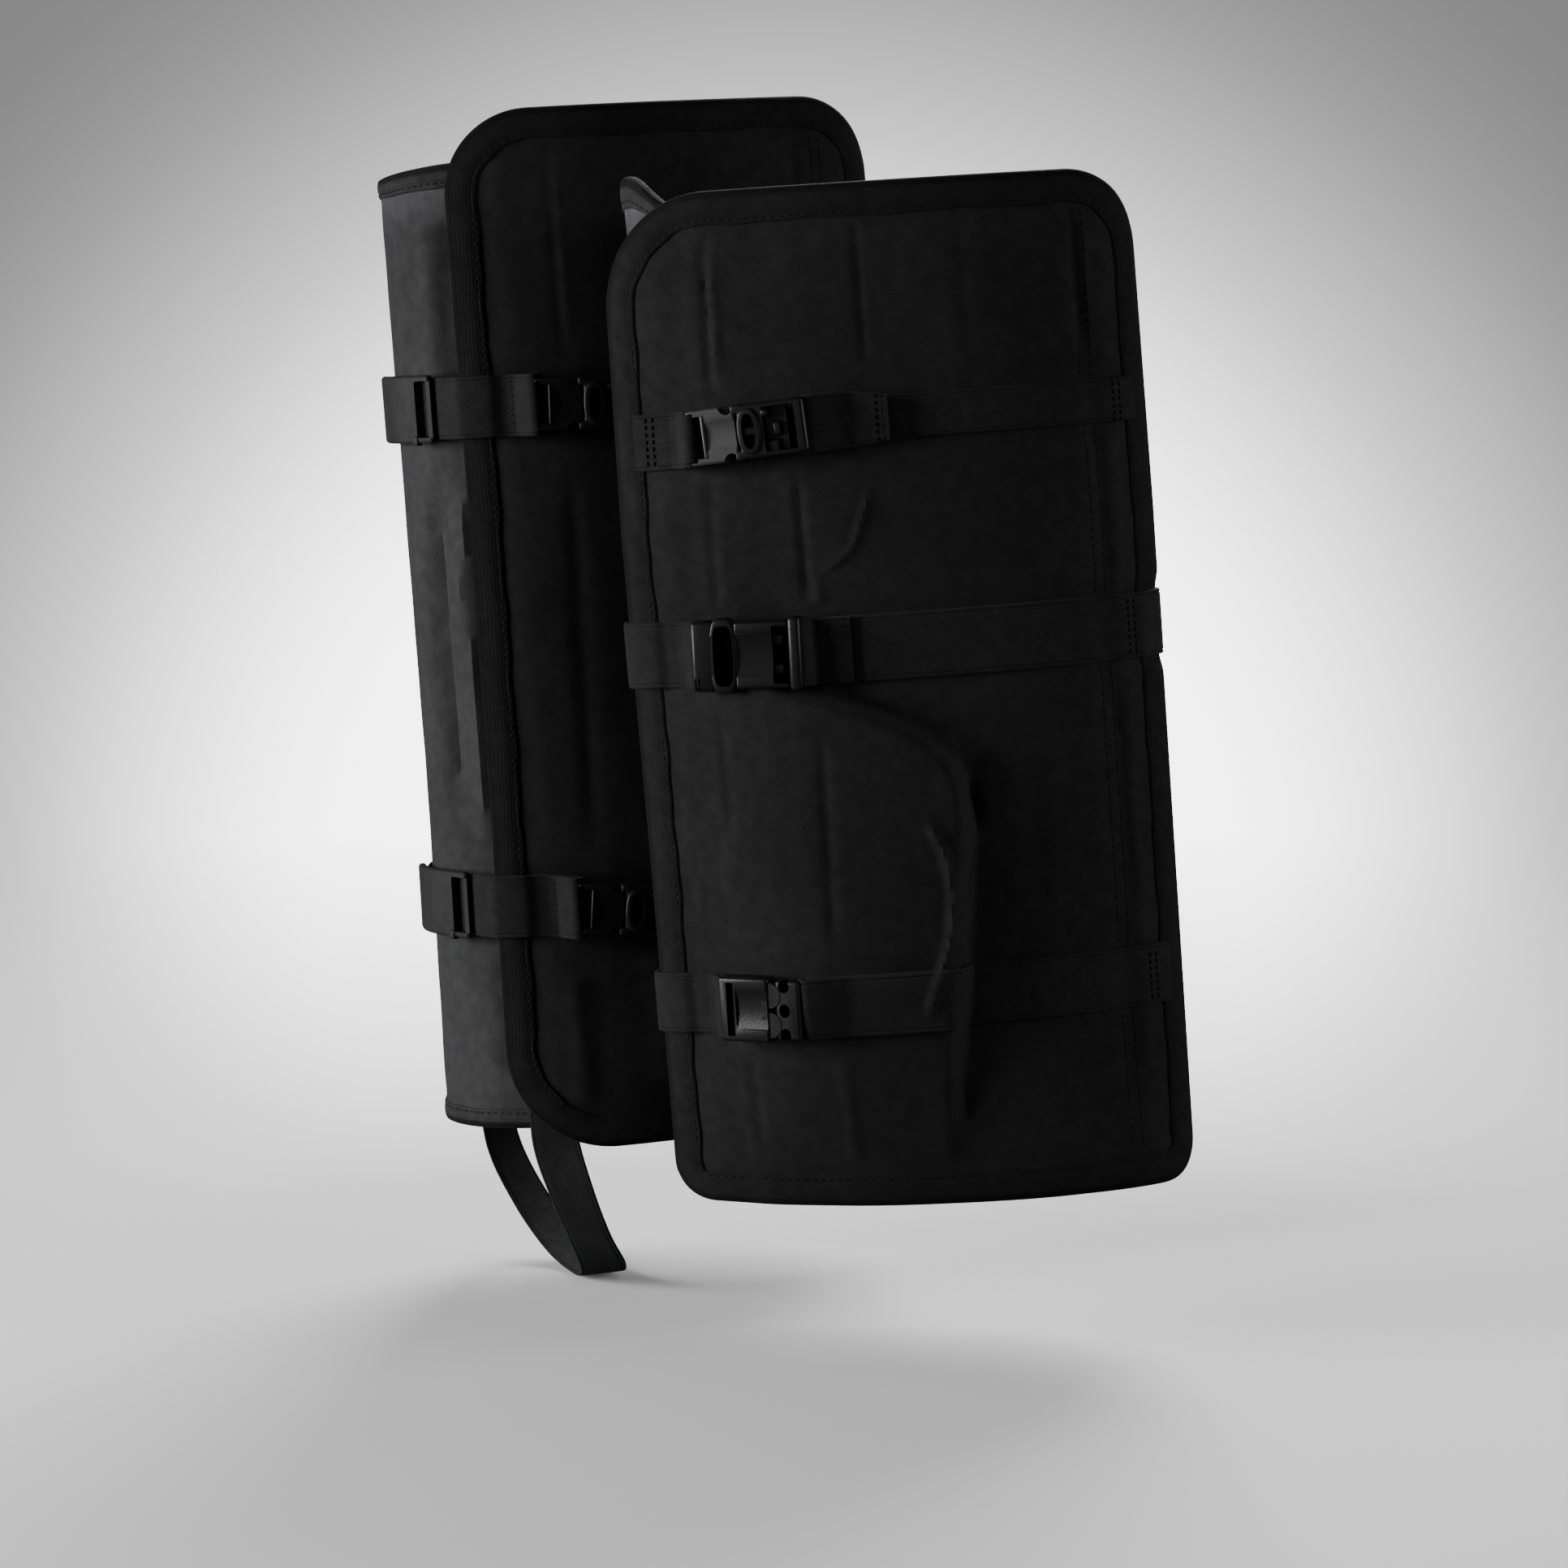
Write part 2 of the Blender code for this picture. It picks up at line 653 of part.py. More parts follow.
def build_latch(name, seat, material):
    """Male half: a base with a webbing slot, and two sprung prongs round a guide."""
    half = BUCKLE_HEIGHT / 2.0
    middle = -BUCKLE_DEPTH / 2.0
    base = ((-LATCH_BASE, middle - BASE_HALF_DEPTH, -half), (-PRONG_FIT, middle + BASE_HALF_DEPTH, half))
    piece = add_object(name, box_mesh(name, [base]), material, seat)
    add_bevel(piece, MOULDED_EDGE)
    slot_start = -LATCH_BASE + BAR_WIDTH
    slot = ((slot_start, middle - BUCKLE_DEPTH, -half + SLOT_OPENING),
            (slot_start + SLOT_WIDTH, middle + BUCKLE_DEPTH, half - SLOT_OPENING))
    add_cut(piece, add_cutter(name + "_slot", [slot], seat))
    prong_edge = half - BUCKLE_WALL - PRONG_FIT
    thick = PRONG_THICK / 2.0
    spans = ((-prong_edge, -prong_edge + PRONG_WIDTH), (-GUIDE_HALF, GUIDE_HALF),
             (prong_edge - PRONG_WIDTH, prong_edge))
    for index, (low, high) in enumerate(spans):
        prong = ((-PRONG_ROOT, middle - thick, low), (PRONG_REACH - CUT_PAST, middle + thick, high))
        join = piece.modifiers.new("prong", "BOOLEAN")
        join.operation = "UNION"
        join.object = add_cutter("%s_prong_%d" % (name, index), [prong], seat)


def add_seat(name, form, girth, height, parent):
    """An empty just off the flap's outer face: X along the strap, +Y into the leg, Z up."""
    start, middle, end = [form.point(place, height, form.outer(place, height))
                          for place in (girth - LATCH_BASE, girth, girth + LATCH_BASE)]
    along = (end - start).normalized()
    inward = Vector((0.0, 0.0, 1.0)).cross(along).normalized()
    up = along.cross(inward)
    seat = bpy.data.objects.new(name, None)
    bpy.context.collection.objects.link(seat)
    seat.parent = parent
    turn = Matrix((along, inward, up)).transposed().to_4x4()
    seat.matrix_local = Matrix.Translation(middle - inward * SEAT_LIFT) @ turn
    return seat


def stirrup_mesh(name):
    """Webbing under the foot: a band along the stirrup's route."""
    places = [Vector((step.across, step.depth, step.height)) for step in STIRRUP_ROUTE]
    half = STIRRUP_WIDTH / 2.0
    bm = bmesh.new()
    rings = []
    for index, (step, place) in enumerate(zip(STIRRUP_ROUTE, places)):
        along = (places[min(index + 1, len(places) - 1)] - places[max(index - 1, 0)]).normalized()
        turn, tip = math.radians(step.turn), math.radians(step.tip)
        out = Vector((math.sin(turn) * math.cos(tip), -math.cos(turn) * math.cos(tip), -math.sin(tip)))
        out = (out - along * out.dot(along)).normalized()
        side = along.cross(out)
        ring = (place - side * half, place + side * half,
                place + side * half + out * STIRRUP_WALL, place - side * half + out * STIRRUP_WALL)
        rings.append([bm.verts.new(corner) for corner in ring])
    for ring, after in zip(rings, rings[1:]):
        for column in range(4):
            beside = (column + 1) % 4
            bm.faces.new((ring[column], ring[beside], after[beside], after[column]))
    bm.faces.new(rings[0][::-1])
    bm.faces.new(rings[-1])
    bmesh.ops.triangulate(bm, faces=bm.faces)
    return finish_mesh(name, bm)


def build_gaiter(gaiter, materials):
    """All the pieces of one gaiter, under an empty that leans and turns it."""
    leg, flap_form = Form(gaiter), FlapForm(gaiter)
    flap = gaiter.flap
    root = bpy.data.objects.new(gaiter.name + "_leg", None)
    bpy.context.collection.objects.link(root)
    lean = Matrix.Rotation(math.radians(-gaiter.lean), 4, "Y")
    yaw = Matrix.Rotation(math.radians(gaiter.yaw), 4, "Z")
    root.matrix_world = Matrix.Translation(gaiter.place) @ lean @ yaw

    def add(mesh, material):
        return add_object(mesh.name, mesh, materials[material], root)

    def wrap_inner(_girth, _height):
        return 0.0

    def wrap_outer(_girth, _height):
        return WRAP_WALL

    # Wrap: from under the flap's calf side, round the back and the shin, to under its free edge
    start, end = gaiter.overlap[1], gaiter.overlap[0] + leg.girth
    girths = leg.stations_between(start, end)
    heights = [gaiter.wrap_low] + [ring.height for ring in gaiter.rings[1:-1]] + [gaiter.wrap_high]
    rows = [([height] * len(girths), girths) for height in heights]
    add(sheet_mesh(gaiter.name + "_wrap", leg, rows, wrap_inner, wrap_outer), "cloth")
    outline = rounded_outline(leg, start, end, gaiter.wrap_low, gaiter.wrap_high, WRAP_CORNER, WRAP_CORNER,
                              WRAP_CORNER, heights)
    add(binding_mesh(gaiter.name + "_wrap_binding", leg, outline, wrap_inner, wrap_outer), "tape")

    # Flap with its own bound edge
    add(sheet_mesh(gaiter.name + "_flap", flap_form, flap_rows(flap_form), flap_form.inner,
                   flap_form.outer), "cloth")
    outline = rounded_outline(flap_form, flap_form.left, flap_form.right, flap.low, flap.high,
                              flap.low_radius, flap.free_radius, flap.top_radius,
                              [ring.height for ring in gaiter.rings])
    add(binding_mesh(gaiter.name + "_flap_binding", flap_form, outline, flap_form.inner,
                     flap_form.outer), "tape")
    for strap in gaiter.straps:
        build_strap(strap, leg, flap_form, root, add, materials)
    return root


def landing_turn(leg, edge, height, offset):
    """Turn at which webbing pulled straight back from a point first lies on the wrap."""
    turn = -60
    while turn > -170:
        place, normal = leg.oval(turn, height)
        away = edge - (place + normal * offset)
        if normal.x * away.x + normal.y * away.y <= 0.0:
            return turn
        turn -= 1
    return turn


def build_strap(strap, leg, flap_form, root, add, materials):
    """One closure: webbing on both sides of a buckle, its tail and the slide at the shin."""
    label = "%s_%s_" % (leg.gaiter.name, strap.name)

    def on_flap(girth, height):
        return flap_form.outer(girth, height) + SEAM_GAP

    def over_tape(girth, height):
        return flap_form.outer(girth, height) + TAPE_GAP + TAPE_WALL + SEAM_GAP

    def on_wrap(_girth, _height):
        return WRAP_WALL + SEAM_GAP

    def on_strap(_girth, _height):
        return WRAP_WALL + WEB_WALL + 2.0 * SEAM_GAP

    def along(form, start, end, offset):
        return [(form, girth, offset) for girth in form.stations_between(start, end)]

    tape_edge = TAPE_GAP + TAPE_WALL + 2.0 * SEAM_GAP
    socket_start = strap.buckle + LATCH_BASE
    long_start = socket_start + SOCKET_LENGTH + 2.0 * SEAM_GAP
    right_tape = flap_form.right - TAPE_WIDTH
    path = along(flap_form, long_start, right_tape - 2.0 * SEAM_GAP, on_flap)
    if strap.over_right:
        edge = flap_form.right + tape_edge
        path = path[:-1] + [(flap_form, right_tape - TAPE_CLIMB, on_flap),
                            (flap_form, right_tape - TAPE_LAP, over_tape),
                            (flap_form, flap_form.right, over_tape), (flap_form, edge, over_tape)]
        behind = leg.girth_at(flap_form.last_turn + CALF_TURN)
        path += along(leg, behind, behind + strap.over_right, on_wrap)
    add(band_mesh(label + "strap_long", strap.height, path), "webbing")

    short_end = strap.buckle - 2.0 * SEAM_GAP
    left_tape = flap_form.left + TAPE_WIDTH
    if strap.anchor_turn is None:
        path = along(flap_form, left_tape + 2.0 * SEAM_GAP, short_end, on_flap)
    else:
        edge = flap_form.left - tape_edge
        corner = flap_form.point(edge, strap.height, over_tape(flap_form.left, strap.height))
        landing = leg.girth_at(landing_turn(leg, corner, strap.height, on_wrap(0.0, 0.0)) - 1)
        path = along(leg, leg.girth_at(strap.anchor_turn), landing, on_wrap)
        path += [(flap_form, edge, over_tape), (flap_form, flap_form.left, over_tape),
                 (flap_form, left_tape + TAPE_LAP, over_tape), (flap_form, left_tape + TAPE_CLIMB, on_flap)]
        path += along(flap_form, left_tape + TAPE_CLIMB, short_end, on_flap)[1:]
        slide = along(leg, landing - SLIDE_LENGTH, landing, on_strap)
        add(band_mesh(label + "slide", strap.height, slide, SLIDE_WIDTH, SLIDE_WALL), "plastic")
    add(band_mesh(label + "strap_short", strap.height, path), "webbing")

    seat = add_seat(label + "seat", flap_form, socket_start, strap.height, root)
    build_latch(label + "latch", seat, materials["plastic"])
    build_socket(label + "socket", seat, materials["plastic"])

    if strap.tail:
        def on_webbing(girth, height):
            return flap_form.outer(girth, height) + WEB_WALL + 2.0 * SEAM_GAP

        path = along(flap_form, long_start + SEAM_GAP, long_start + SEAM_GAP + strap.tail, on_webbing)
        add(band_mesh(label + "tail", strap.height, path), "webbing")


def make_material(name, color, roughness):
    """A plain material with the piece's colour."""
    material = bpy.data.materials.new(name)
    material.use_nodes = True
    shader = material.node_tree.nodes["Principled BSDF"]
    shader.inputs["Base Color"].default_value = (*color, 1.0)
    shader.inputs["Roughness"].default_value = roughness
    shader.inputs["Metallic"].default_value = 0.0
    return material


def main():
    """Clear the scene and build the pair."""
    for item in list(bpy.data.objects):
        bpy.data.objects.remove(item)
    materials = {
        "cloth": make_material("black nylon cloth", (0.012, 0.012, 0.013), 0.85),
        "tape": make_material("black binding tape", (0.016, 0.016, 0.017), 0.75),
        "webbing": make_material("black webbing", (0.020, 0.020, 0.021), 0.70),
        "plastic": make_material("black moulded plastic", (0.030, 0.030, 0.032), 0.40),
    }
    for gaiter in (FRONT, REAR):
        root = build_gaiter(gaiter, materials)
        if gaiter.stirrup:
            add_object("rear_stirrup", stirrup_mesh("rear_stirrup"), materials["webbing"], root)


main()
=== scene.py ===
"""Dresses the worn pair of snake gaiters: cloth panels, bound edges, webbing, buckles and stitches.

Metres, +Z up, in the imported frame's own axes. Cloth, tape and webbing are laid out by girth (the way
round a leg) and height on each gaiter's two forms, the leg's and the flap's.
"""

from __future__ import annotations

import logging
import math
from dataclasses import astuple, dataclass, field
from enum import Enum
from typing import Callable, Sequence

import bpy
import numpy as np
from mathutils import Matrix, Vector, noise


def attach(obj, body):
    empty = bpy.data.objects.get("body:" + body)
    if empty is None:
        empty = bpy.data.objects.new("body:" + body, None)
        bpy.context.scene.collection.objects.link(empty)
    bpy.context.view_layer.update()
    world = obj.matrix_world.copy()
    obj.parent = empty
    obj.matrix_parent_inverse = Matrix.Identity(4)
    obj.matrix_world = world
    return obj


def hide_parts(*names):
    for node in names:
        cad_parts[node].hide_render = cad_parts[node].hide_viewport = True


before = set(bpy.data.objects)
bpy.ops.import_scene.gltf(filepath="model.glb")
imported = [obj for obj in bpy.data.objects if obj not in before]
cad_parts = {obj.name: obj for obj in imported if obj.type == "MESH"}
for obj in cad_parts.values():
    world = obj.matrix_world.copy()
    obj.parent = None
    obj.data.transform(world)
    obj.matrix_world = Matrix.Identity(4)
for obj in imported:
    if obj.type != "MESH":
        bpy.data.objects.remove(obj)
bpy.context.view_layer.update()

LOG = logging.getLogger("gaiters")
BODY = "root"

Array = np.ndarray
Piece = bpy.types.Object
Socket = bpy.types.NodeSocket
NodeTree = bpy.types.NodeTree
Offset = Callable[[Array, Array], Array]
Span = tuple[float, float]


class Slot(Enum):
    """The record's material slots."""

    FLAP = "flap_cloth"
    WRAP = "wrap_cloth"
    BINDING = "binding"
    WEBBING = "webbing"
    BUCKLE = "buckle"


class BuckleKind(Enum):
    """How a buckle's front is shaped."""

    WINDOW = "window"
    MOUTH = "mouth"
    SHORT = "short"


class Pattern(Enum):
    """How a finish is woven."""

    WEAVE = "weave"
    RIBS = "ribs"


class Join(Enum):
    """How a shape changes the moulding that it meets."""

    ADD = "UNION"
    CUT = "DIFFERENCE"


class Axis(Enum):
    """Which of a cylinder's two radii (0, 1) and length (2) lies along X, Y and Z."""

    X = (2, 0, 1)
    Y = (0, 2, 1)


def smooth(value: Array) -> Array:
    """Ease values from 0 to 1, flat at both ends."""
    value = np.clip(value, 0.0, 1.0)
    return value * value * (3.0 - 2.0 * value)


def signed_power(value: Array, power: Array) -> Array:
    """A power of a value's size that keeps its sign."""
    return np.sign(value) * np.abs(value) ** power


def unit(rows: Array) -> Array:
    """Directions of length 1."""
    return rows / np.linalg.norm(rows, axis=-1, keepdims=True)


def travelled_along(points: Array) -> Array:
    """Distance along a line of points at each point."""
    return np.concatenate(([0.0], np.cumsum(np.linalg.norm(np.diff(points, axis=0), axis=1))))


def read_line(where: Array, places: Array, values: Array) -> Array:
    """Rows of x, y, z read between those known at `places`."""
    return np.stack([np.interp(where, places, values[:, axis]) for axis in range(3)], axis=-1)


# ---- Sizes ----


@dataclass(frozen=True)
class Cloth:
    """Thicknesses and widths shared by all pieces."""

    wrap_wall: float = 0.003
    flap_wall: float = 0.004
    tape_width: float = 0.012
    tape_lift: float = 0.0011
    wrap_tape_width: float = 0.0072
    web_width: float = 0.026
    web_wall: float = 0.0018
    web_gap: float = 0.0002
    selvedge: float = 0.0026
    stitch_inset: float = 0.028
    stitch_half: float = 0.009
    stitch_end: float = 0.030
    stitch_depth: float = 0.0010
    stitch_gap: float = 0.0022
    strap_dent: float = 0.0011
    padding: float = 0.0007
    wrap_unevenness: float = 0.0006
    flap_unevenness: float = 0.0005
    calf_turn: float = 25.0


CLOTH = Cloth()


@dataclass(frozen=True)
class Ring:
    """One level of a leg's oval."""

    height: float
    half_width: float
    half_depth: float
    centre: float


@dataclass(frozen=True)
class Stand:
    """How far the flap's inner face stands off the leg's oval at a degree of turn."""

    turn: float
    distance: float


@dataclass(frozen=True)
class Corners:
    """Radii of a panel's corners, in their order round it."""

    free_low: float
    calf_low: float
    calf_high: float
    free_high: float


@dataclass(frozen=True)
class FlapCut:
    """Outline of a flap before it is curved round the leg."""

    first_turn: int
    last_turn: int
    low: float
    high: float
    low_left: float
    high_left: float
    corners: Corners
    slant_band: float = 0.060


@dataclass(frozen=True)
class Crease:
    """A soft trough or ridge of the cloth along a line of girths and heights."""

    line: tuple[Span, ...]
    half_width: float
    rise: float
    fade: float

    def lift(self, girth: Array, height: Array) -> Array:
        """How far the crease moves the cloth out.

        Args:
            girth: girth positions.
            height: heights.

        Returns:
            The lift at each place, in metres.
        """
        lengths = [math.dist(a, b) for a, b in zip(self.line, self.line[1:])]
        total = sum(lengths)
        nearest = np.full(girth.shape, 1.0)
        along = np.zeros(girth.shape)
        run = 0.0
        for (start, end), length in zip(zip(self.line, self.line[1:]), lengths):
            across = end[0] - start[0], end[1] - start[1]
            part = ((girth - start[0]) * across[0] + (height - start[1]) * across[1]) / length ** 2
            part = np.clip(part, 0.0, 1.0)
            away = np.hypot(girth - start[0] - across[0] * part, height - start[1] - across[1] * part)
            closer = away < nearest
            nearest = np.where(closer, away, nearest)
            along = np.where(closer, (run + length * part) / total, along)
            run += length
        ends = smooth(along / self.fade) * smooth((1.0 - along) / self.fade)
        return self.rise * ends * np.exp(-(nearest / self.half_width) ** 2)


def fold(half_width: float, rise: float, *line: float, fade: float = 0.18) -> Crease:
    """A crease with all its sizes in millimetres, its line as girth and height in turn."""
    places = tuple((girth / 1000.0, height / 1000.0) for girth, height in zip(line[::2], line[1::2]))
    return Crease(places, half_width / 1000.0, rise / 1000.0, fade)


@dataclass(frozen=True)
class Fullness:
    """The part of a flap that bulges out, under a slanting upper edge and a rounded shoulder."""

    shoulder: tuple[float, float]
    top_slope: float
    side_slope: float
    rounding: float
    depth: float
    edge: float
    left_fade: float = 0.060
    low_fade: float = 0.095

    def lift(self, girth: Array, height: Array, left: float) -> Array:
        """How far the bulge stands out.

        Args:
            girth: girth positions.
            height: heights.
            left: girth of the flap's left edge.

        Returns:
            The lift at each place, in metres.
        """
        below_top = self.shoulder[1] - self.top_slope * (girth - self.shoulder[0]) - height
        below_top = below_top / math.hypot(1.0, self.top_slope)
        inside_side = self.shoulder[0] + self.side_slope * (height - self.shoulder[1]) - girth
        rounded = np.exp(-below_top / self.rounding) + np.exp(-inside_side / self.rounding)
        raised = smooth(-self.rounding * np.log(rounded) / self.edge + 0.2)
        from_left = smooth((girth - left - CLOTH.tape_width) / self.left_fade)
        lower = smooth(height / self.low_fade)
        return self.depth * raised * from_left * lower


@dataclass(frozen=True)
class StrapPlan:
    """One closure: heights of the webbing at both ends, and where its buckle lies."""

    name: str
    height: float
    height_left: float
    buckle: float
    over_right: float
    anchor_turn: float | None
    tail: float
    kind: BuckleKind
    width: float = CLOTH.web_width
    width_right: float = CLOTH.web_width
    tail_rise: float = 0.0
    latch_finish: str = "buckle"


@dataclass(frozen=True)
class Crest:
    """A stretch of the wrap's upper edge that stands higher than the rest."""

    girth: float
    before: float
    after: float
    rise: float
    flare: float = 0.0
    reach: float = 0.045

    def share(self, girth: Array, height: Array, high: float) -> Array:
        """How much of the crest a place has.

        Args:
            girth: girth positions, from the middle of the flap.
            height: heights.
            high: height of the wrap's upper edge away from its crests.

        Returns:
            0 away from the crest, 1 at its tip.
        """
        away = girth - self.girth
        along = np.where(away < 0.0, 1.0 + away / self.before, 1.0 - away / self.after)
        return smooth(along) * np.clip((height - high + self.reach) / self.reach, 0.0, 1.0) ** 2


@dataclass(frozen=True)
class GaiterPlan:
    """Everything that sets one gaiter's form and place."""

    name: str
    place: tuple[float, float, float]
    lean: float
    yaw: float
    calf_power: float
    rings: tuple[Ring, ...]
    wrap_low: float
    wrap_high: float
    overlap: tuple[float, float]
    flap: FlapCut
    stands: tuple[Stand, ...]
    straps: tuple[StrapPlan, ...]
    fullness: Fullness | None
    flap_creases: tuple[Crease, ...]
    wrap_creases: tuple[Crease, ...]
    crests: tuple[Crest, ...] = ()


FRONT = GaiterPlan(
    name="front", place=(0.0635, -0.020, -0.158), lean=4.0, yaw=0.0, calf_power=0.77,
    rings=(
        Ring(0.000, 0.0925, 0.0540, -0.0010),
        Ring(0.130, 0.0928, 0.0550, -0.0017),
        Ring(0.270, 0.0935, 0.0575, -0.0030),
        Ring(0.404, 0.0920, 0.0560, -0.0035),
    ),
    wrap_low=0.002, wrap_high=0.3985, overlap=(-0.055, 0.050),
    flap=FlapCut(-66, 68, low=0.0, high=0.401, low_left=0.006, high_left=0.0015,
                 corners=Corners(free_low=0.016, calf_low=0.016, calf_high=0.031, free_high=0.044)),
    stands=(Stand(-66, 0.0206), Stand(-45, 0.0132), Stand(-25, 0.0090), Stand(0, 0.0075),
            Stand(30, 0.0075), Stand(68, 0.0135)),
    straps=(
        # The upper latch takes the acetal with a painted highlight.
        StrapPlan("upper", 0.3120, 0.3075, buckle=-0.074, over_right=0.0, anchor_turn=None, tail=0.026,
                  kind=BuckleKind.WINDOW, width=0.0222, width_right=0.0168, tail_rise=0.0030,
                  latch_finish="painted_highlight"),
        StrapPlan("middle", 0.2230, 0.2240, buckle=-0.080, over_right=0.030, anchor_turn=-150, tail=0.0,
                  kind=BuckleKind.MOUTH),
        StrapPlan("lower", 0.0840, 0.0850, buckle=-0.077, over_right=0.0, anchor_turn=-150, tail=0.046,
                  kind=BuckleKind.SHORT, width=0.0240, width_right=0.0240, tail_rise=0.0010),
    ),
    fullness=Fullness(shoulder=(0.0270, 0.1840), top_slope=0.43, side_slope=0.11, rounding=0.0092,
                      depth=0.0115, edge=0.0088),
    flap_creases=(
        fold(1.6, -1.2, -65.5, 390, -66.2, 322), fold(1.8, 0.8, -62.5, 386, -63.2, 330),
        fold(2.2, -0.7, -69, 296, -70, 238), fold(2, -0.9, -70.5, 206, -70, 150),
        fold(2.2, -0.7, -70, 68, -69, 22), fold(1.6, -1.1, -34.5, 294, -34, 240),
        fold(1.8, -0.9, -31, 196, -33, 104), fold(2.6, 0.7, -33, 66, -32, 16),
        fold(1.6, -0.9, -6.5, 394, -6, 330), fold(2.6, -0.6, 33, 396, 34.5, 330),
        fold(1.6, -1.1, 79, 394, 79.5, 328), fold(1.8, 0.7, 83, 390, 83.5, 334),
        fold(2, -0.7, 83, 300, 84, 240), fold(2, -0.7, 84, 206, 85, 104), fold(6, -0.7, 48, 200, 47, 110),
        fold(2, -0.9, 8, 70, 14, 30),
        fold(1.7, 2.2, 3.6, 158, 10.5, 142, 12.6, 125, 10.4, 107, 4.2, 89, -2, 76, fade=0.12),
        fold(1.7, -1.2, 13, 108, 12.5, 96, 8.5, 70, fade=0.2),
        fold(1.1, 1.2, -7.8, 290, -8.6, 281, -11.8, 272, -15, 263, -21.7, 257, -30, 252.5, fade=0.2),
        fold(1.4, 0.9, -30, 252, -29, 240, fade=0.25),
        fold(2.8, -4, -54, 213, -42, 209.5, -24, 204, -7.5, 197.8, 9, 187.2, 19, 175, 23, 160, 24, 145,
             fade=0.16),
    ),
    wrap_creases=(
        fold(6, -1.2, -316, 380, -310, 210, -314, 40), fold(5, 1, -281, 300, -272, 120),
        fold(6, -1.3, -224, 395, -228, 250, -220, 130), fold(5.5, -1.1, -168, 360, -174, 190, -166, 50),
        fold(4.5, 1, -130, 385, -126, 270), fold(5, -1.1, -138, 200, -132, 60),
        fold(3.5, -0.9, -112, 395, -108, 330),
    ),
    crests=(
        Crest(-0.1070, before=0.050, after=0.026, rise=0.0125, flare=0.0015),
        Crest(-0.3650, before=0.050, after=0.040, rise=-0.0060),
    ),
)

REAR = GaiterPlan(
    name="rear", place=(-0.0460, 0.118, -0.147), lean=3.5, yaw=30.0, calf_power=0.77,
    rings=(
        Ring(0.000, 0.1035, 0.0620, -0.0025),
        Ring(0.130, 0.1025, 0.0615, -0.0025),
        Ring(0.270, 0.1033, 0.0630, -0.0027),
        Ring(0.400, 0.1040, 0.0620, -0.0030),
    ),
    wrap_low=0.0, wrap_high=0.400, overlap=(-0.050, 0.032),
    flap=FlapCut(-60, 45, low=-0.008, high=0.425, low_left=0.0, high_left=0.0,
                 corners=Corners(free_low=0.043, calf_low=0.016, calf_high=0.034, free_high=0.034)),
    stands=(Stand(-60, 0.0110), Stand(-35, 0.0085), Stand(0, 0.0075), Stand(20, 0.0075),
            Stand(45, 0.0120)),
    straps=(
        StrapPlan("upper", 0.3030, 0.3050, buckle=-0.0775, over_right=0.0, anchor_turn=-160, tail=0.0,
                  kind=BuckleKind.WINDOW, width=0.0256),
        StrapPlan("lower", 0.0890, 0.0960, buckle=-0.0745, over_right=0.0, anchor_turn=-160, tail=0.0,
                  kind=BuckleKind.WINDOW),
    ),
    fullness=None,
    flap_creases=(
        fold(1.9, -0.4, -64, 412, -63.2, 322), fold(1.9, 0.3, -60.8, 405, -60, 330),
        fold(3.4, -0.7, -63, 286, -64, 112), fold(3, -0.6, -4, 418, -4, 360),
        fold(3, -0.9, 47, 418, 47.5, 330), fold(5, 1.1, -76, 70, -74.5, 4),
        fold(6, -0.7, -30, 284, -28, 110), fold(5, -0.8, 50, 280, 52, 110), fold(5, 0.6, 6, 270, 9, 140),
        fold(6, 1.2, -40, 78, -38, 12), fold(4, -0.6, 50, 66, 49, 10),
    ),
    wrap_creases=(
        fold(3.6, 3.2, -84, 280, -86.5, 200, -85, 120), fold(3.4, -3.6, -92.5, 284, -95, 180, -93, 110),
        fold(3.6, -3, -100, 390, -103, 340, -101, 300),
        fold(3.6, 3.2, -103, 284, -106.5, 230, -104, 170, -106, 112), fold(4, 2, -112, 390, -115, 300),
        fold(3.4, -3.2, -115, 280, -119, 210, -116, 130), fold(4.5, -1.9, -98, 78, -100, 14),
        fold(5, 1.7, -124, 390, -128, 330), fold(5, 1.7, -128, 280, -130, 220, -127, 110),
        fold(6, -1.6, -176, 380, -180, 250, -174, 110), fold(5.5, 1.3, -226, 340, -220, 180),
        fold(6, -1.5, -286, 390, -280, 260, -286, 60), fold(6, -1.5, -356, 330, -352, 150),
    ),
    crests=(Crest(-0.0900, before=0.070, after=0.060, rise=0.0050),),
)

# Under-foot strap of the rear gaiter: middle line, facing and tip of each section
STIRRUP_ROUTE = (
    (-0.0840, -0.0430, 0.038, -35, 0),
    (-0.0845, -0.0436, 0.010, -34, 0),
    (-0.0841, -0.0440, -0.008, -36, 0),
    (-0.0795, -0.0465, -0.029, -46, 10),
    (-0.0700, -0.0415, -0.050, -48, 32),
    (-0.0570, -0.0260, -0.067, -30, 62),
    (-0.0470, 0.0000, -0.0755, -8, 88),
    (-0.0460, 0.0300, -0.070, 2, 105),
    (-0.0510, 0.0500, -0.052, 8, 130),
    (-0.0590, 0.0590, -0.026, 16, 160),
    (-0.0620, 0.0585, 0.002, 21, 178),
    (-0.0620, 0.0580, 0.030, 22, 180),
)


# ---- Forms ----


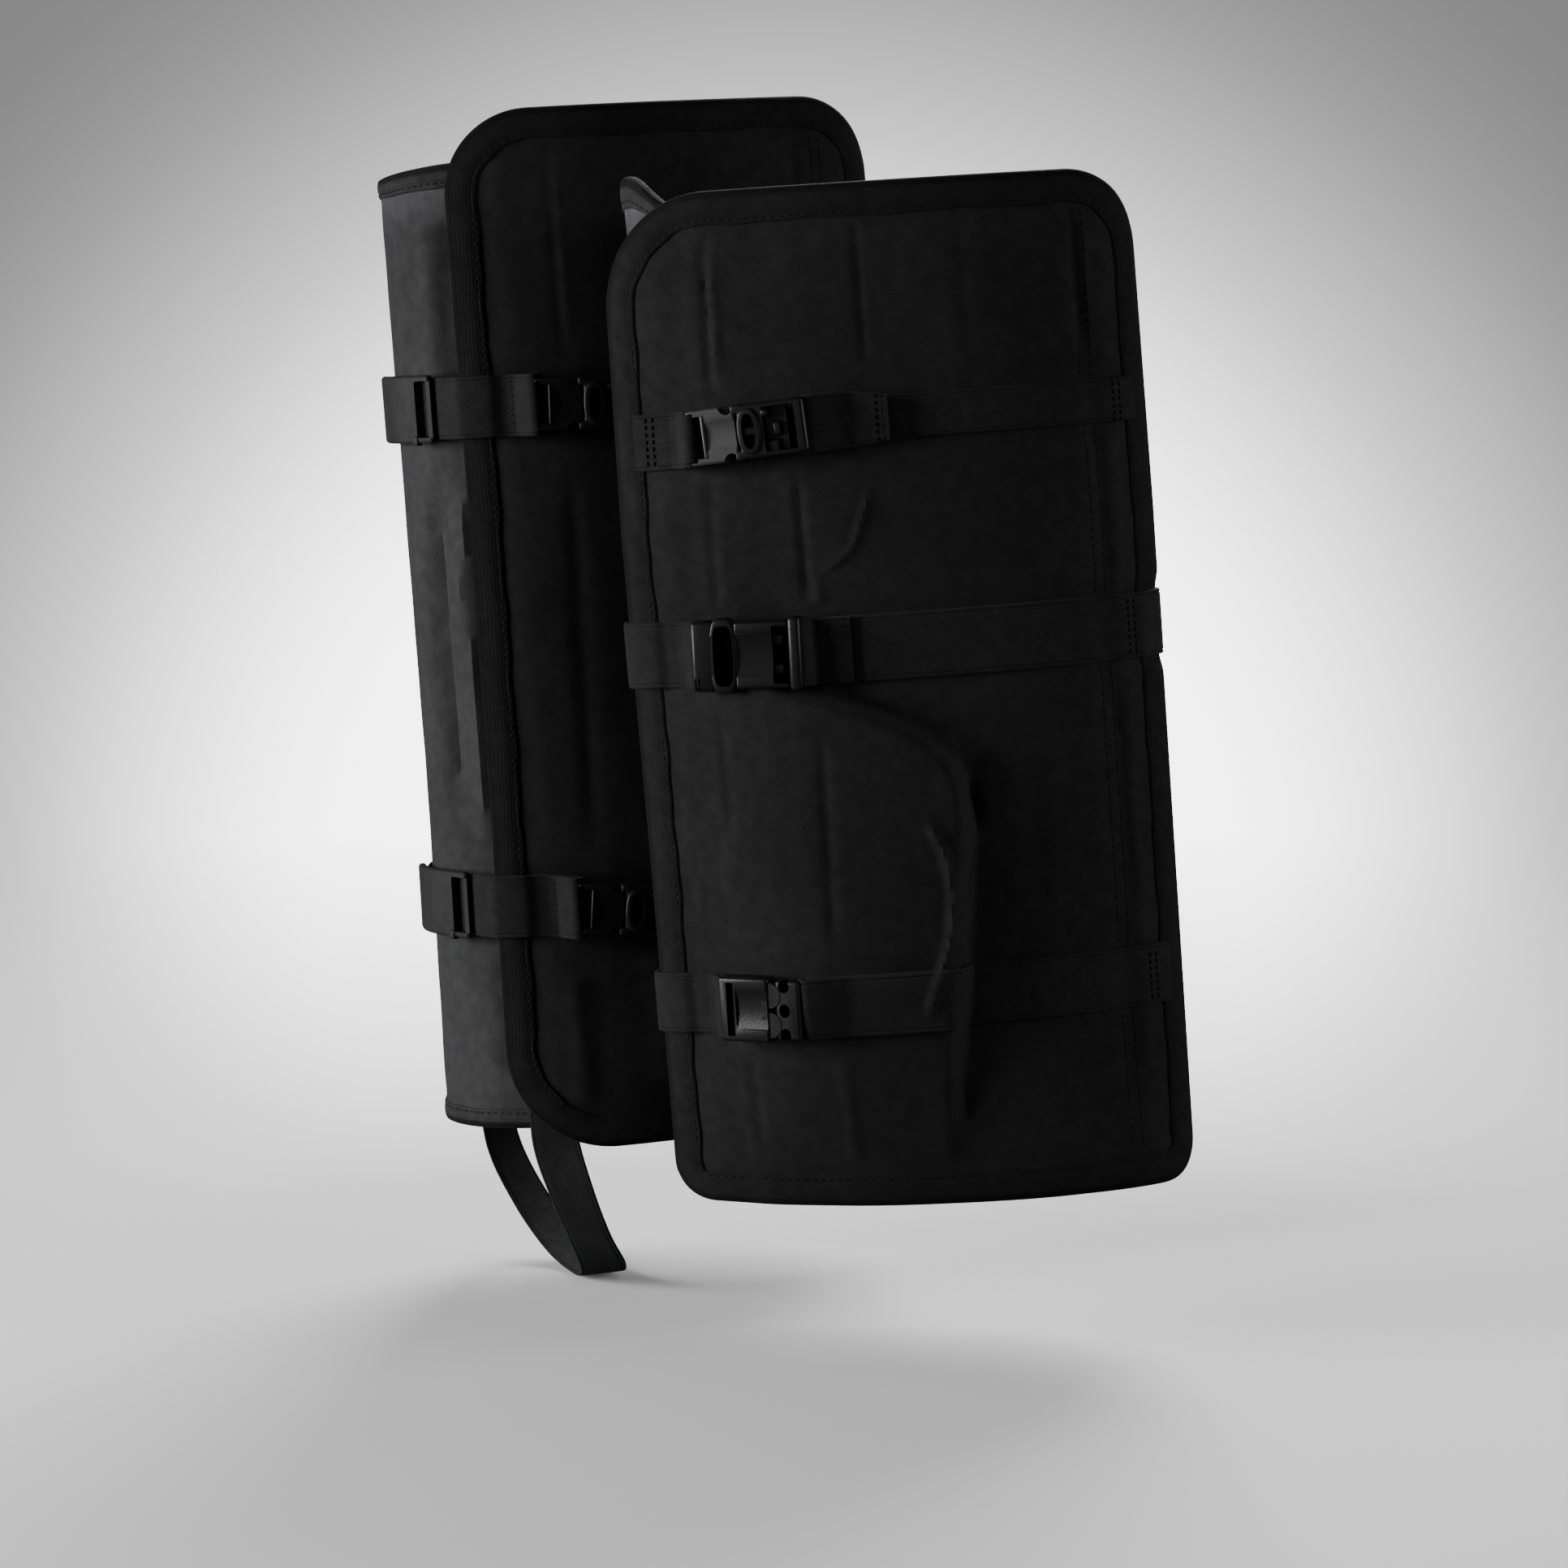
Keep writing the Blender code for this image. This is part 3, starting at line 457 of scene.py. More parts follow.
class Form:
    """A smooth surface round a leg, laid out by girth along a plan curve and by height.

    The panel made on it reaches from `left` to `right` in girth and from `low` to `high`.
    """

    first_turn = -200
    last_turn = 360
    wall = 0.0
    tape_width = 0.0
    left: float
    right: float
    low: float
    high: float
    corners: Corners

    def __init__(self, plan: GaiterPlan) -> None:
        """Measure the plan curve of a gaiter.

        Args:
            plan: the gaiter's sizes.
        """
        self.plan = plan
        self.turns = np.arange(self.first_turn, self.last_turn + 0.25, 0.5)
        level = np.full(self.turns.shape, plan.rings[len(plan.rings) // 2].height)
        travelled = travelled_along(self.base(self.turns, level))
        self.girths = travelled - np.interp(0.0, self.turns, travelled)
        lean = Matrix.Rotation(math.radians(-plan.lean), 3, "Y")
        yaw = Matrix.Rotation(math.radians(plan.yaw), 3, "Z")
        self.turning = np.array(lean @ yaw)

    def oval(self, turn: Array, height: Array) -> tuple[Array, Array]:
        """The leg's oval, which is squarer at the back of the calf.

        Args:
            turn: degrees round the leg.
            height: heights.

        Returns:
            Plan points and outward normals.
        """
        heights = [ring.height for ring in self.plan.rings]
        half_width, half_depth, centre = (
            np.interp(height, heights, [getattr(ring, size) for ring in self.plan.rings])
            for size in ("half_width", "half_depth", "centre"))
        sine, cosine = np.sin(np.radians(turn)), np.cos(np.radians(turn))
        power = np.where((sine > 0.0) & (cosine > 0.0), self.plan.calf_power, 1.0)
        across, ahead = signed_power(sine, power), signed_power(cosine, power)
        place = np.stack((centre + half_width * across, -half_depth * ahead), axis=-1)
        across, ahead = signed_power(sine, 2.0 - power), signed_power(cosine, 2.0 - power)
        return place, unit(np.stack((across / half_width, -ahead / half_depth), axis=-1))

    def base(self, turn: Array, height: Array) -> Array:
        """Plan points of the form's curve."""
        return self.oval(turn, height)[0]

    def girth_at(self, turn: float) -> float:
        """Girth position at a degree of turn."""
        return float(np.interp(turn, self.turns, self.girths))

    def world(self, local: Array) -> Array:
        """Places of the gaiter's own axes in the frame's axes."""
        return local @ self.turning.T + np.array(self.plan.place)

    def surface(self, girth: Array, height: Array, out: Array) -> Array:
        """Points of the form, moved out.

        Args:
            girth: girth positions.
            height: heights.
            out: distances along the outward normal.

        Returns:
            One row of x, y, z a point, in the gaiter's own axes.
        """
        girth, height, out = np.broadcast_arrays(girth, height, out)
        turn = np.interp(girth, self.girths, self.turns)
        along = self.base(turn + 0.5, height) - self.base(turn - 0.5, height)
        normal = unit(np.stack((along[..., 1], -along[..., 0]), axis=-1))
        beyond = np.clip(girth - self.girths[-1], 0.0, None) + np.clip(girth - self.girths[0], None, 0.0)
        tangent = np.stack((-normal[..., 1], normal[..., 0]), axis=-1)
        plan = self.base(turn, height) + normal * out[..., None] + tangent * beyond[..., None]
        return np.concatenate((plan, height[..., None]), axis=-1)

    def raised(self, girth: Array, height: Array) -> Array:
        """Heights on the panel, whose edges may rise."""
        raise NotImplementedError

    def relief(self, girth: Array, height: Array) -> Array:
        """How far the panel's folds and creases stand off the form."""
        raise NotImplementedError

    def inner(self, girth: Array, height: Array) -> Array:
        """Offset of the panel's inner face."""
        return self.relief(girth, height)

    def outer(self, girth: Array, height: Array) -> Array:
        """Offset of the panel's outer face."""
        return self.relief(girth, height) + self.wall

    def edge_distance(self, girth: Array, height: Array) -> Array:
        """How far a place lies inside the panel's outline, corners not counted."""
        sides = np.minimum(girth - self.left, self.right - girth)
        return np.minimum(sides, np.minimum(height - self.low, self.high - height))


class WrapForm(Form):
    """The leg's own form, which the wrap is made on."""

    wall = CLOTH.wrap_wall
    tape_width = CLOTH.wrap_tape_width

    def __init__(self, plan: GaiterPlan) -> None:
        """Lay out the wrap's ends round the leg.

        Args:
            plan: the gaiter's sizes.
        """
        super().__init__(plan)
        self.lap = self.girth_at(360.0)
        self.left, self.right = plan.overlap[1], plan.overlap[0] + self.lap
        self.low, self.high = plan.wrap_low, plan.wrap_high
        self.corners = Corners(*[CLOTH.tape_width + 0.001] * 4)

    def at_crests(self, size: str, girth: Array, height: Array) -> Array:
        """Sum of the crests' rises or flares, whichever `size` names."""
        shares = [crest.share(girth - self.lap, height, self.high) for crest in self.plan.crests]
        return sum(getattr(crest, size) * share for crest, share in zip(self.plan.crests, shares))

    def raised(self, girth: Array, height: Array) -> Array:
        """Heights on a wrap whose upper edge rises at its crests."""
        return height + self.at_crests("rise", girth, height)

    def relief(self, girth: Array, height: Array) -> Array:
        """Creases and unevenness of the wrap, none at its bound edges, and the crests' flare.

        Args:
            girth: girth positions.
            height: heights.

        Returns:
            The offset of the wrap's inner face at each place.
        """
        lift = sum(crease.lift(girth - self.lap, height) for crease in self.plan.wrap_creases)
        lift = lift + unevenness(girth, height, CLOTH.wrap_unevenness, len(self.plan.name))
        calm = smooth((self.edge_distance(girth, height) - 0.006) / 0.016)
        return lift * calm + self.at_crests("flare", girth, height)


class FlapForm(Form):
    """The inner face of the flap, which stands off the leg by the table of stands."""

    wall = CLOTH.flap_wall
    tape_width = CLOTH.tape_width

    def __init__(self, plan: GaiterPlan) -> None:
        """Lay out the flap's edges on its own curve.

        Args:
            plan: the gaiter's sizes.
        """
        self.first_turn, self.last_turn = plan.flap.first_turn, plan.flap.last_turn
        self.stand_turns = np.arange(-180.0, 181.0, 0.5)
        self.stand_distances = np.array([self.stand_at(plan.stands, turn) for turn in self.stand_turns])
        super().__init__(plan)
        self.left, self.right = float(self.girths[0]), float(self.girths[-1])
        self.low, self.high, self.corners = plan.flap.low, plan.flap.high, plan.flap.corners

    @staticmethod
    def stand_at(stands: Sequence[Stand], turn: float) -> float:
        """Distance of the flap from the leg's oval.

        Args:
            stands: the known distances, in order of turn.
            turn: degrees round the leg.

        Returns:
            The distance there, half linear and half eased between two stands.
        """
        turn = min(max(turn, stands[0].turn), stands[-1].turn)
        for low, high in zip(stands, stands[1:]):
            if turn <= high.turn:
                break
        part = (turn - low.turn) / (high.turn - low.turn)
        return low.distance + (high.distance - low.distance) * (part + float(smooth(part))) / 2.0

    def base(self, turn: Array, height: Array) -> Array:
        """Plan points of the flap's inner face."""
        place, normal = self.oval(turn, height)
        return place + normal * np.interp(turn, self.stand_turns, self.stand_distances)[..., None]

    def raised(self, girth: Array, height: Array) -> Array:
        """Heights on a flap whose upper and lower edges rise towards the free edge.

        Args:
            girth: girth positions.
            height: heights before the edges rise.

        Returns:
            The heights.
        """
        flap = self.plan.flap
        across = (self.right - girth) / (self.right - self.left)
        upper = np.clip((height - flap.high + flap.slant_band) / flap.slant_band, 0.0, None)
        lower = np.clip((flap.low + flap.slant_band - height) / flap.slant_band, 0.0, None)
        return height + flap.high_left * upper * across + flap.low_left * lower * across ** 2

    def stitched_trough(self, girth: Array, height: Array) -> Array:
        """Depth of the trough where the flap is stitched down to the wrap."""
        away = np.abs(girth - (self.right - CLOTH.stitch_inset)) / CLOTH.stitch_half
        ends = np.minimum(height - self.low, self.high - height) / CLOTH.stitch_end
        return CLOTH.stitch_depth * (1.0 - smooth(away)) * smooth(ends - 0.7)

    def strap_dents(self, girth: Array, height: Array) -> Array:
        """Shallow bands that the straps press into the flap, deeper where one goes on round the calf.

        Args:
            girth: girth positions.
            height: heights.

        Returns:
            The lift at each place, below 0 in a dent.
        """
        dent = np.zeros(girth.shape)
        inside = smooth((self.edge_distance(girth, height) - 0.004) / 0.02)
        calf_side = smooth((girth - self.right + 0.024) / 0.020)
        for strap in self.plan.straps:
            away = np.abs(height - strap_height(strap, girth)) - strap.width / 2.0
            pressed = np.maximum(inside, calf_side) + 0.5 * calf_side if strap.over_right else inside
            dent = np.maximum(dent, (1.0 - smooth(away / 0.010 + 0.15)) * pressed)
        return -CLOTH.strap_dent * dent

    def relief(self, girth: Array, height: Array) -> Array:
        """Everything that moves the flap off its plain curve.

        Args:
            girth: girth positions.
            height: heights.

        Returns:
            The offset of the flap's inner face at each place.
        """
        inside = self.edge_distance(girth, height)
        lift = sum(crease.lift(girth, height) for crease in self.plan.flap_creases)
        lift = lift + unevenness(girth, height, CLOTH.flap_unevenness, 7 + len(self.plan.name))
        lift = lift * smooth((inside - 0.008) / 0.012)
        if self.plan.fullness:
            lift = lift + self.plan.fullness.lift(girth, height, self.left)
        padding = CLOTH.padding * smooth((inside - CLOTH.tape_width) / 0.010)
        return lift + padding - self.stitched_trough(girth, height) + self.strap_dents(girth, height)


def strap_height(strap: StrapPlan, girth: Array) -> Array:
    """Height of a strap's middle line, which changes near the flap's free edge."""
    return strap.height + (strap.height_left - strap.height) * smooth((-0.010 - girth) / 0.090)


def unevenness(girth: Array, height: Array, size: float, seed: int) -> Array:
    """Slow hand-made waviness of cloth.

    Args:
        girth: girth positions.
        height: heights.
        size: largest lift, in metres.
        seed: a number that moves the pattern.

    Returns:
        The lift at each place.
    """
    girth, height = np.broadcast_arrays(girth, height)
    values = [noise.noise((g * 26.0 + seed, h * 11.0, seed * 3.7))
              + 0.5 * noise.noise((g * 70.0, h * 34.0 + seed, 9.1))
              for g, h in zip(girth.ravel(), height.ravel())]
    return size * np.array(values).reshape(girth.shape)


# ---- Making meshes ----

CORNER_LINES = 12


def deselect() -> None:
    """Leave nothing selected and nothing active."""
    bpy.ops.object.select_all(action="DESELECT")
    bpy.context.view_layer.objects.active = None


def select_only(piece: Piece) -> None:
    """Select one piece and make it active.

    Args:
        piece: the piece.
    """
    deselect()
    bpy.context.view_layer.objects.active = piece
    piece.select_set(True)


def take_new(name: str) -> Piece:
    """Name the primitive that was just added.

    Args:
        name: its name.

    Returns:
        The primitive's object.
    """
    piece = bpy.context.object
    piece.name = name
    piece.data.name = name
    return piece


def apply_modifiers(piece: Piece) -> None:
    """Apply a piece's modifiers in order.

    Args:
        piece: the piece.
    """
    select_only(piece)
    for modifier in list(piece.modifiers):
        bpy.ops.object.modifier_apply(modifier=modifier.name)


def shade(piece: Piece, degrees: float = 40.0) -> None:
    """Shade a piece smooth, with sharp edges past an angle.

    Args:
        piece: the piece.
        degrees: the angle.
    """
    select_only(piece)
    bpy.ops.object.shade_smooth_by_angle(angle=math.radians(degrees))
    deselect()


def outward_faces(piece: Piece, join: bool = False) -> None:
    """Turn a closed mesh's faces outwards.

    Args:
        piece: the mesh object.
        join: whether points that meet are joined first.
    """
    select_only(piece)
    bpy.ops.object.mode_set(mode="EDIT")
    bpy.ops.mesh.select_all(action="SELECT")
    if join:
        bpy.ops.mesh.remove_doubles(threshold=1e-6)
    bpy.ops.mesh.normals_make_consistent(inside=False)
    bpy.ops.object.mode_set(mode="OBJECT")
    deselect()


def get_points(piece: Piece) -> Array:
    """Read all of a mesh's vertices.

    Args:
        piece: the mesh object.

    Returns:
        Their places, one row each.
    """
    flat = np.empty(len(piece.data.vertices) * 3, dtype=np.float32)
    piece.data.vertices.foreach_get("co", flat)
    return flat.reshape(-1, 3).astype(float)


def set_points(piece: Piece, points: Array) -> None:
    """Move all of a mesh's vertices."""
    piece.data.vertices.foreach_set("co", np.ascontiguousarray(points, dtype=np.float32).ravel())
    piece.data.update()


def write_uv(piece: Piece, along: Array, across: Array) -> None:
    """Give a mesh a UV map in metres, so that weaves keep their real size.

    Args:
        piece: the mesh object.
        along: first coordinate of each vertex.
        across: second coordinate of each vertex.
    """
    mesh = piece.data
    layer = mesh.uv_layers[0] if mesh.uv_layers else mesh.uv_layers.new(name="UVMap")
    corners = np.empty(len(mesh.loops), dtype=np.int32)
    mesh.loops.foreach_get("vertex_index", corners)
    places = np.stack((along[corners], across[corners]), axis=-1)
    layer.data.foreach_set("uv", places.astype(np.float32).ravel())


def cloth_grid(name: str, columns: int, rows: int) -> tuple[Piece, Array, Array]:
    """Add a grid to lay a piece of cloth on.

    Args:
        name: the piece's name.
        columns: faces across.
        rows: faces up.

    Returns:
        The grid and each vertex's place on it, 0 to 1 across and up.
    """
    deselect()
    bpy.ops.mesh.primitive_grid_add(x_subdivisions=columns, y_subdivisions=rows, size=1.0, calc_uvs=True)
    piece = take_new(name)
    flat = get_points(piece) + 0.5
    return piece, np.clip(flat[:, 0], 0.0, 1.0), np.clip(flat[:, 1], 0.0, 1.0)


def thicken(piece: Piece, wall: float, offset: float, thin: Array | None = None) -> None:
    """Give a sheet its wall.

    Args:
        piece: the sheet.
        wall: thickness in metres.
        offset: -1 to grow behind the sheet's face, 0 on both sides.
        thin: share of the wall at each vertex, if it varies.
    """
    solid = piece.modifiers.new("wall", "SOLIDIFY")
    solid.thickness = wall
    solid.offset = offset
    solid.use_even_offset = False
    if thin is not None:
        group = piece.vertex_groups.new(name="wall")
        rounded = np.round(thin, 3)
        for share in np.unique(rounded):
            group.add(np.nonzero(rounded == share)[0].tolist(), float(share), "REPLACE")
        solid.vertex_group = group.name
    apply_modifiers(piece)


def panel_heights(form: Form, rows: int) -> Array:
    """Row heights of a panel, closer together where its corners round off.

    Args:
        form: the form that holds the panel's sizes.
        rows: faces up.

    Returns:
        The heights, from the lower edge to the upper.
    """
    turn = np.linspace(0.0, math.pi / 2.0, CORNER_LINES + 1)
    corners = form.corners
    low = form.low + min(corners.free_low, corners.calf_low) * (1.0 - np.cos(turn))
    top = form.high - min(corners.free_high, corners.calf_high) * (1.0 - np.cos(turn))[::-1]
    middle = np.linspace(low[-1], top[0], rows - 2 * CORNER_LINES + 1)
    return np.concatenate((low[:-1], middle, top[1:]))


def corner_inset(radius: float, rise: Array) -> Array:
    """How far a rounded corner lies inside its panel's side at distances from the panel's end."""
    within = np.clip(radius - rise, 0.0, radius)
    return radius - np.sqrt(radius ** 2 - within ** 2)


def panel(name: str, form: Form, pitch: float) -> Piece:
    """A cloth panel with rounded corners on a form.

    Args:
        name: the piece's name.
        form: the form it is made on.
        pitch: distance between the mesh's lines.

    Returns:
        The finished panel.
    """
    columns = round((form.right - form.left) / pitch)
    rows = round((form.high - form.low) / pitch) + 2 * CORNER_LINES
    piece, part, up = cloth_grid(name, columns, rows)
    height = np.interp(up, np.linspace(0.0, 1.0, rows + 1), panel_heights(form, rows))
    low, high, corners = height - form.low, form.high - height, form.corners
    left = corner_inset(corners.free_high, high) + corner_inset(corners.free_low, low)
    right = corner_inset(corners.calf_high, high) + corner_inset(corners.calf_low, low)
    girth = form.left + left + (form.right - form.left - left - right) * part
    height = form.raised(girth, height)
    set_points(piece, form.world(form.surface(girth, height, form.outer(girth, height))))
    write_uv(piece, girth, height)
    thicken(piece, form.wall, -1.0)
    shade(piece)
    return piece


@dataclass
class Outline:
    """A panel's bound edge, sampled closely: where it runs and which way is inwards."""

    girth: Array
    height: Array
    inward: Array
    along: Array

    @property
    def length(self) -> float:
        """Length once round."""
        closing = math.hypot(self.girth[0] - self.girth[-1], self.height[0] - self.height[-1])
        return float(self.along[-1] + closing)


def panel_outline(form: Form, pitch: float) -> Outline:
    """Walk round a panel's edge, from the left end of its lower edge.

    Args:
        form: the form that holds the panel's sizes.
        pitch: distance between samples.

    Returns:
        The samples.
    """
    rows: list[tuple[float, ...]] = []
    radii = astuple(form.corners)
    ends = ((form.left, form.low), (form.right, form.low), (form.right, form.high), (form.left, form.high))
    for side in range(4):
        following = (side + 1) % 4
        heading = math.radians(90.0 * side)
        go = np.array((math.cos(heading), math.sin(heading)))
        inward = np.array((-go[1], go[0]))
        radius = radii[following]
        start = np.array(ends[side]) + go * radii[side]
        end = np.array(ends[following]) - go * radius
        count = max(2, round(float(np.linalg.norm(end - start)) / pitch))
        for step in range(count):
            rows.append((*(start + (end - start) * step / count), *inward))
        centre = end + inward * radius
        turns = max(4, round(radius * math.pi / 2.0 / pitch))
        for step in range(turns):
            angle = math.radians(90.0 * step / turns)
            toward = -inward * math.cos(angle) + go * math.sin(angle)
            rows.append((*(centre + toward * radius), *(-toward)))
    table = np.array(rows)
    return Outline(table[:, 0], table[:, 1], table[:, 2:], travelled_along(table[:, :2]))


def bound_edge(name: str, form: Form, outline: Outline) -> Piece:
    """Tape folded over a panel's edge, with a sewn groove near both of its own edges.

    Args:
        name: the piece's name.
        form: the form of the bound panel.
        outline: the panel's outline.

    Returns:
        The finished tape.
    """
    width, lift, wall = form.tape_width, CLOTH.tape_lift, form.wall
    face = ((width, 0.15), (width - 0.0004, 0.60), (width - 0.0011, 0.85), (width - 0.0018, 0.62),
            (width - 0.0026, 0.95), (width * 0.5, 1.12), (width * 0.2, 1.10), (0.0006, 1.0))
    waves = outline.along / outline.length * 2.0 * math.pi
    wander = 0.0003 * np.sin(waves * 23.0) + 0.0002 * np.sin(waves * 61.0 + 1.3)
    lines: list[Array] = []
    across: list[float] = []

    def add(inside: float | Array, out: Offset, place: float) -> None:
        """Add a line of points round the panel.

        Args:
            inside: distance inside the panel's edge.
            out: offset from the form.
            place: the line's place over the tape, for its weave.
        """
        girth = outline.girth + outline.inward[:, 0] * inside
        height = form.raised(girth, outline.height + outline.inward[:, 1] * inside)
        lines.append(form.surface(girth, height, out(girth, height)))
        across.append(place)

    for depth, share in face:
        inside = depth + wander if depth > width * 0.4 else depth
        add(inside, lambda g, h: form.outer(g, h) + lift * share, depth)
    for angle in map(math.radians, (60, 30, 0, -30, -60)):
        add(-lift * 1.1 * math.cos(angle),
            lambda g, h: form.inner(g, h) + wall / 2.0 + (wall / 2.0 + lift) * math.sin(angle),
            -0.001 - 0.002 * (1.0 - math.sin(angle)))
    for depth, share in reversed(face):
        add(depth, lambda g, h: form.inner(g, h) - lift * share, -0.005 - depth)
    for side in (-0.0001, 1.0001):
        add(width - 0.003, lambda g, h: form.inner(g, h) + wall * side, -0.020 + 0.003 * side)
    table = form.world(np.stack(lines, axis=1))
    samples, columns = table.shape[:2]
    piece, part, up = cloth_grid(name, samples, columns)
    step = np.rint(part * samples).astype(int)
    column = np.rint(up * columns).astype(int)
    set_points(piece, table[step % samples, column % columns])
    across.append(across[-1] - 0.003)
    write_uv(piece, np.append(outline.along, outline.length)[step], np.array(across)[column])
    outward_faces(piece, join=True)
    shade(piece, 50.0)
    return piece


@dataclass
class Band:
    """Webbing laid out as cross-sections, each a row of points over its width."""

    name: str
    width: float = CLOTH.web_width
    wall: float = CLOTH.web_wall
    across: int = 16
    length: float = 0.0
    sections: list[Array] = field(default_factory=list)

    def spread(self) -> Array:
        """Places over the width, closer together at the selvedges.

        Returns:
            The places, from -half to half of the width.
        """
        inner = np.linspace(0.0, self.width / 2.0 - CLOTH.selvedge, 4)
        outer = self.width / 2.0 - np.array((0.0020, 0.0015, 0.0010, 0.0004, 0.0))
        half = np.concatenate((inner, outer))
        return np.concatenate((-half[:0:-1], half))

    def share(self, spread: Array) -> Array:
        """Share of the wall at places over the width: a groove beside each selvedge."""
        from_edge = self.width / 2.0 - np.abs(spread)
        return np.interp(from_edge, (0.0, 0.0004, 0.0010, 0.0015, 0.0020), (0.40, 0.85, 1.0, 0.62, 1.0))

    def add(self, form: Form, girth: float, height: float, lift: Offset, share: float = 1.0) -> None:
        """Add a section that lies on a form.

        Args:
            form: the form.
            girth: where round it.
            height: the webbing's middle height there.
            lift: offset of the webbing's middle from the form.
            share: its width there as a share of the band's.
        """
        heights = height + self.spread() * share
        girths = np.full(heights.shape, girth)
        self.sections.append(form.world(form.surface(girths, heights, lift(girths, heights))))

    def travelled(self) -> Array:
        """Distance along the webbing's middle line at each section."""
        return travelled_along(np.stack(self.sections)[:, self.across // 2])

    def make(self) -> Piece:
        """Build the webbing as a grid and give it its wall.

        Returns:
            The finished webbing.
        """
        table = np.stack(self.sections)
        travelled = self.travelled()
        self.length = float(travelled[-1])
        count = max(4, round(self.length / 0.0016))
        places = np.linspace(0.0, self.length, count + 1)
        piece, part, up = cloth_grid(self.name, count, self.across)
        column = np.rint(part * count).astype(int)
        row = np.rint(up * self.across).astype(int)
        lines = [read_line(places, travelled, table[:, index]) for index in range(self.across + 1)]
        set_points(piece, np.stack(lines, axis=1)[column, row])
        write_uv(piece, places[column], self.spread()[row])
        thicken(piece, self.wall, 0.0, self.share(self.spread()[row]))
        shade(piece, 60.0)
        return piece


# ---- Finishes ----


@dataclass
class Wiring:
    """Short ways to add and join nodes in a tree."""

    tree: NodeTree

    def math(self, operation: str, first: object, second: object = 0.0) -> Socket:
        """Add a Math node.

        Args:
            operation: what it does.
            first: a socket or a number.
            second: a socket or a number.

        Returns:
            Its result.
        """
        node = self.tree.nodes.new("ShaderNodeMath")
        node.operation = operation
        for index, value in enumerate((first, second)):
            if isinstance(value, Socket):
                self.tree.links.new(value, node.inputs[index])
            else:
                node.inputs[index].default_value = float(value)
        return node.outputs[0]

    def arch(self, value: Socket) -> Socket:
        """One rounded arch for each whole step of a value."""
        return self.math("ABSOLUTE", self.math("SINE", self.math("MULTIPLY", value, math.pi)))

    def parts(self, vector: Socket) -> bpy.types.NodeOutputs:
        """Split a vector into X, Y and Z."""
        node = self.tree.nodes.new("ShaderNodeSeparateXYZ")
        self.tree.links.new(vector, node.inputs[0])
        return node.outputs

    def speckle(self, vector: Socket, scale: float, detail: float) -> Socket:
        """Add a noise texture.

        Args:
            vector: the coordinates.
            scale: spots a metre.
            detail: how many finer layers it has.

        Returns:
            The noise, from 0 to 1.
        """
        node = self.tree.nodes.new("ShaderNodeTexNoise")
        node.inputs["Scale"].default_value = scale
        node.inputs["Detail"].default_value = detail
        self.tree.links.new(vector, node.inputs["Vector"])
        return node.outputs["Fac"]

    def ramp(self, value: Socket, source: Span, result: Span) -> Socket:
        """Map a range of values to another.

        Args:
            value: the value.
            source: the range it is read in.
            result: what the ends of that range become.

        Returns:
            The mapped value, which stays within the result's ends.
        """
        node = self.tree.nodes.new("ShaderNodeMapRange")
        self.tree.links.new(value, node.inputs["Value"])
        for label, number in zip(("From Min", "From Max", "To Min", "To Max"), (*source, *result)):
            node.inputs[label].default_value = number
        return node.outputs["Result"]

    def mix(self, factor: Socket, first: object, second: Sequence[float]) -> Socket:
        """Mix two colours.

        Args:
            factor: share of the second.
            first: a socket or a colour.
            second: a colour.

        Returns:
            The mixed colour.
        """
        node = self.tree.nodes.new("ShaderNodeMix")
        node.data_type = "RGBA"
        if isinstance(first, Socket):
            self.tree.links.new(first, node.inputs["A"])
        else:
            node.inputs["A"].default_value = (*first, 1.0)
        node.inputs["B"].default_value = (*second, 1.0)
        self.tree.links.new(factor, node.inputs["Factor"])
        return node.outputs["Result"]

    def place_group(self, group: NodeTree, vector: Socket, values: Sequence[float]) -> bpy.types.NodeOutputs:
        """Place a shared group.

        Args:
            group: the group, whose first input is its vector.
            vector: the coordinates it reads.
            values: its other inputs, in order.

        Returns:
            The group's outputs.
        """
        node = self.tree.nodes.new("ShaderNodeGroup")
        node.node_tree = group
        self.tree.links.new(vector, node.inputs[0])
        for socket, value in zip(list(node.inputs)[1:], values):
            socket.default_value = value
        return node.outputs


@dataclass
class SharedGroup:
    """A shader node group with a vector, named numbers and two value outputs."""

    name: str
    numbers: dict[str, float]
    results: tuple[str, str]

    def __post_init__(self) -> None:
        """Start the group with its own input and output nodes."""
        self.tree = bpy.data.node_groups.new(self.name, "ShaderNodeTree")
        self.tree.interface.new_socket(name="Vector", in_out="INPUT", socket_type="NodeSocketVector")
        for label, default in self.numbers.items():
            socket = self.tree.interface.new_socket(name=label, in_out="INPUT", socket_type="NodeSocketFloat")
            socket.default_value = default
        for label in self.results:
            self.tree.interface.new_socket(name=label, in_out="OUTPUT", socket_type="NodeSocketFloat")
        self.wire = Wiring(self.tree)
        self.inputs = self.tree.nodes.new("NodeGroupInput").outputs

    def finish(self, *results: Socket) -> NodeTree:
        """Put the results out.

        Args:
            results: a socket for each of the group's outputs.

        Returns:
            The finished group.
        """
        end = self.tree.nodes.new("NodeGroupOutput")
        for label, result in zip(self.results, results):
            self.tree.links.new(result, end.inputs[label])
        return self.tree


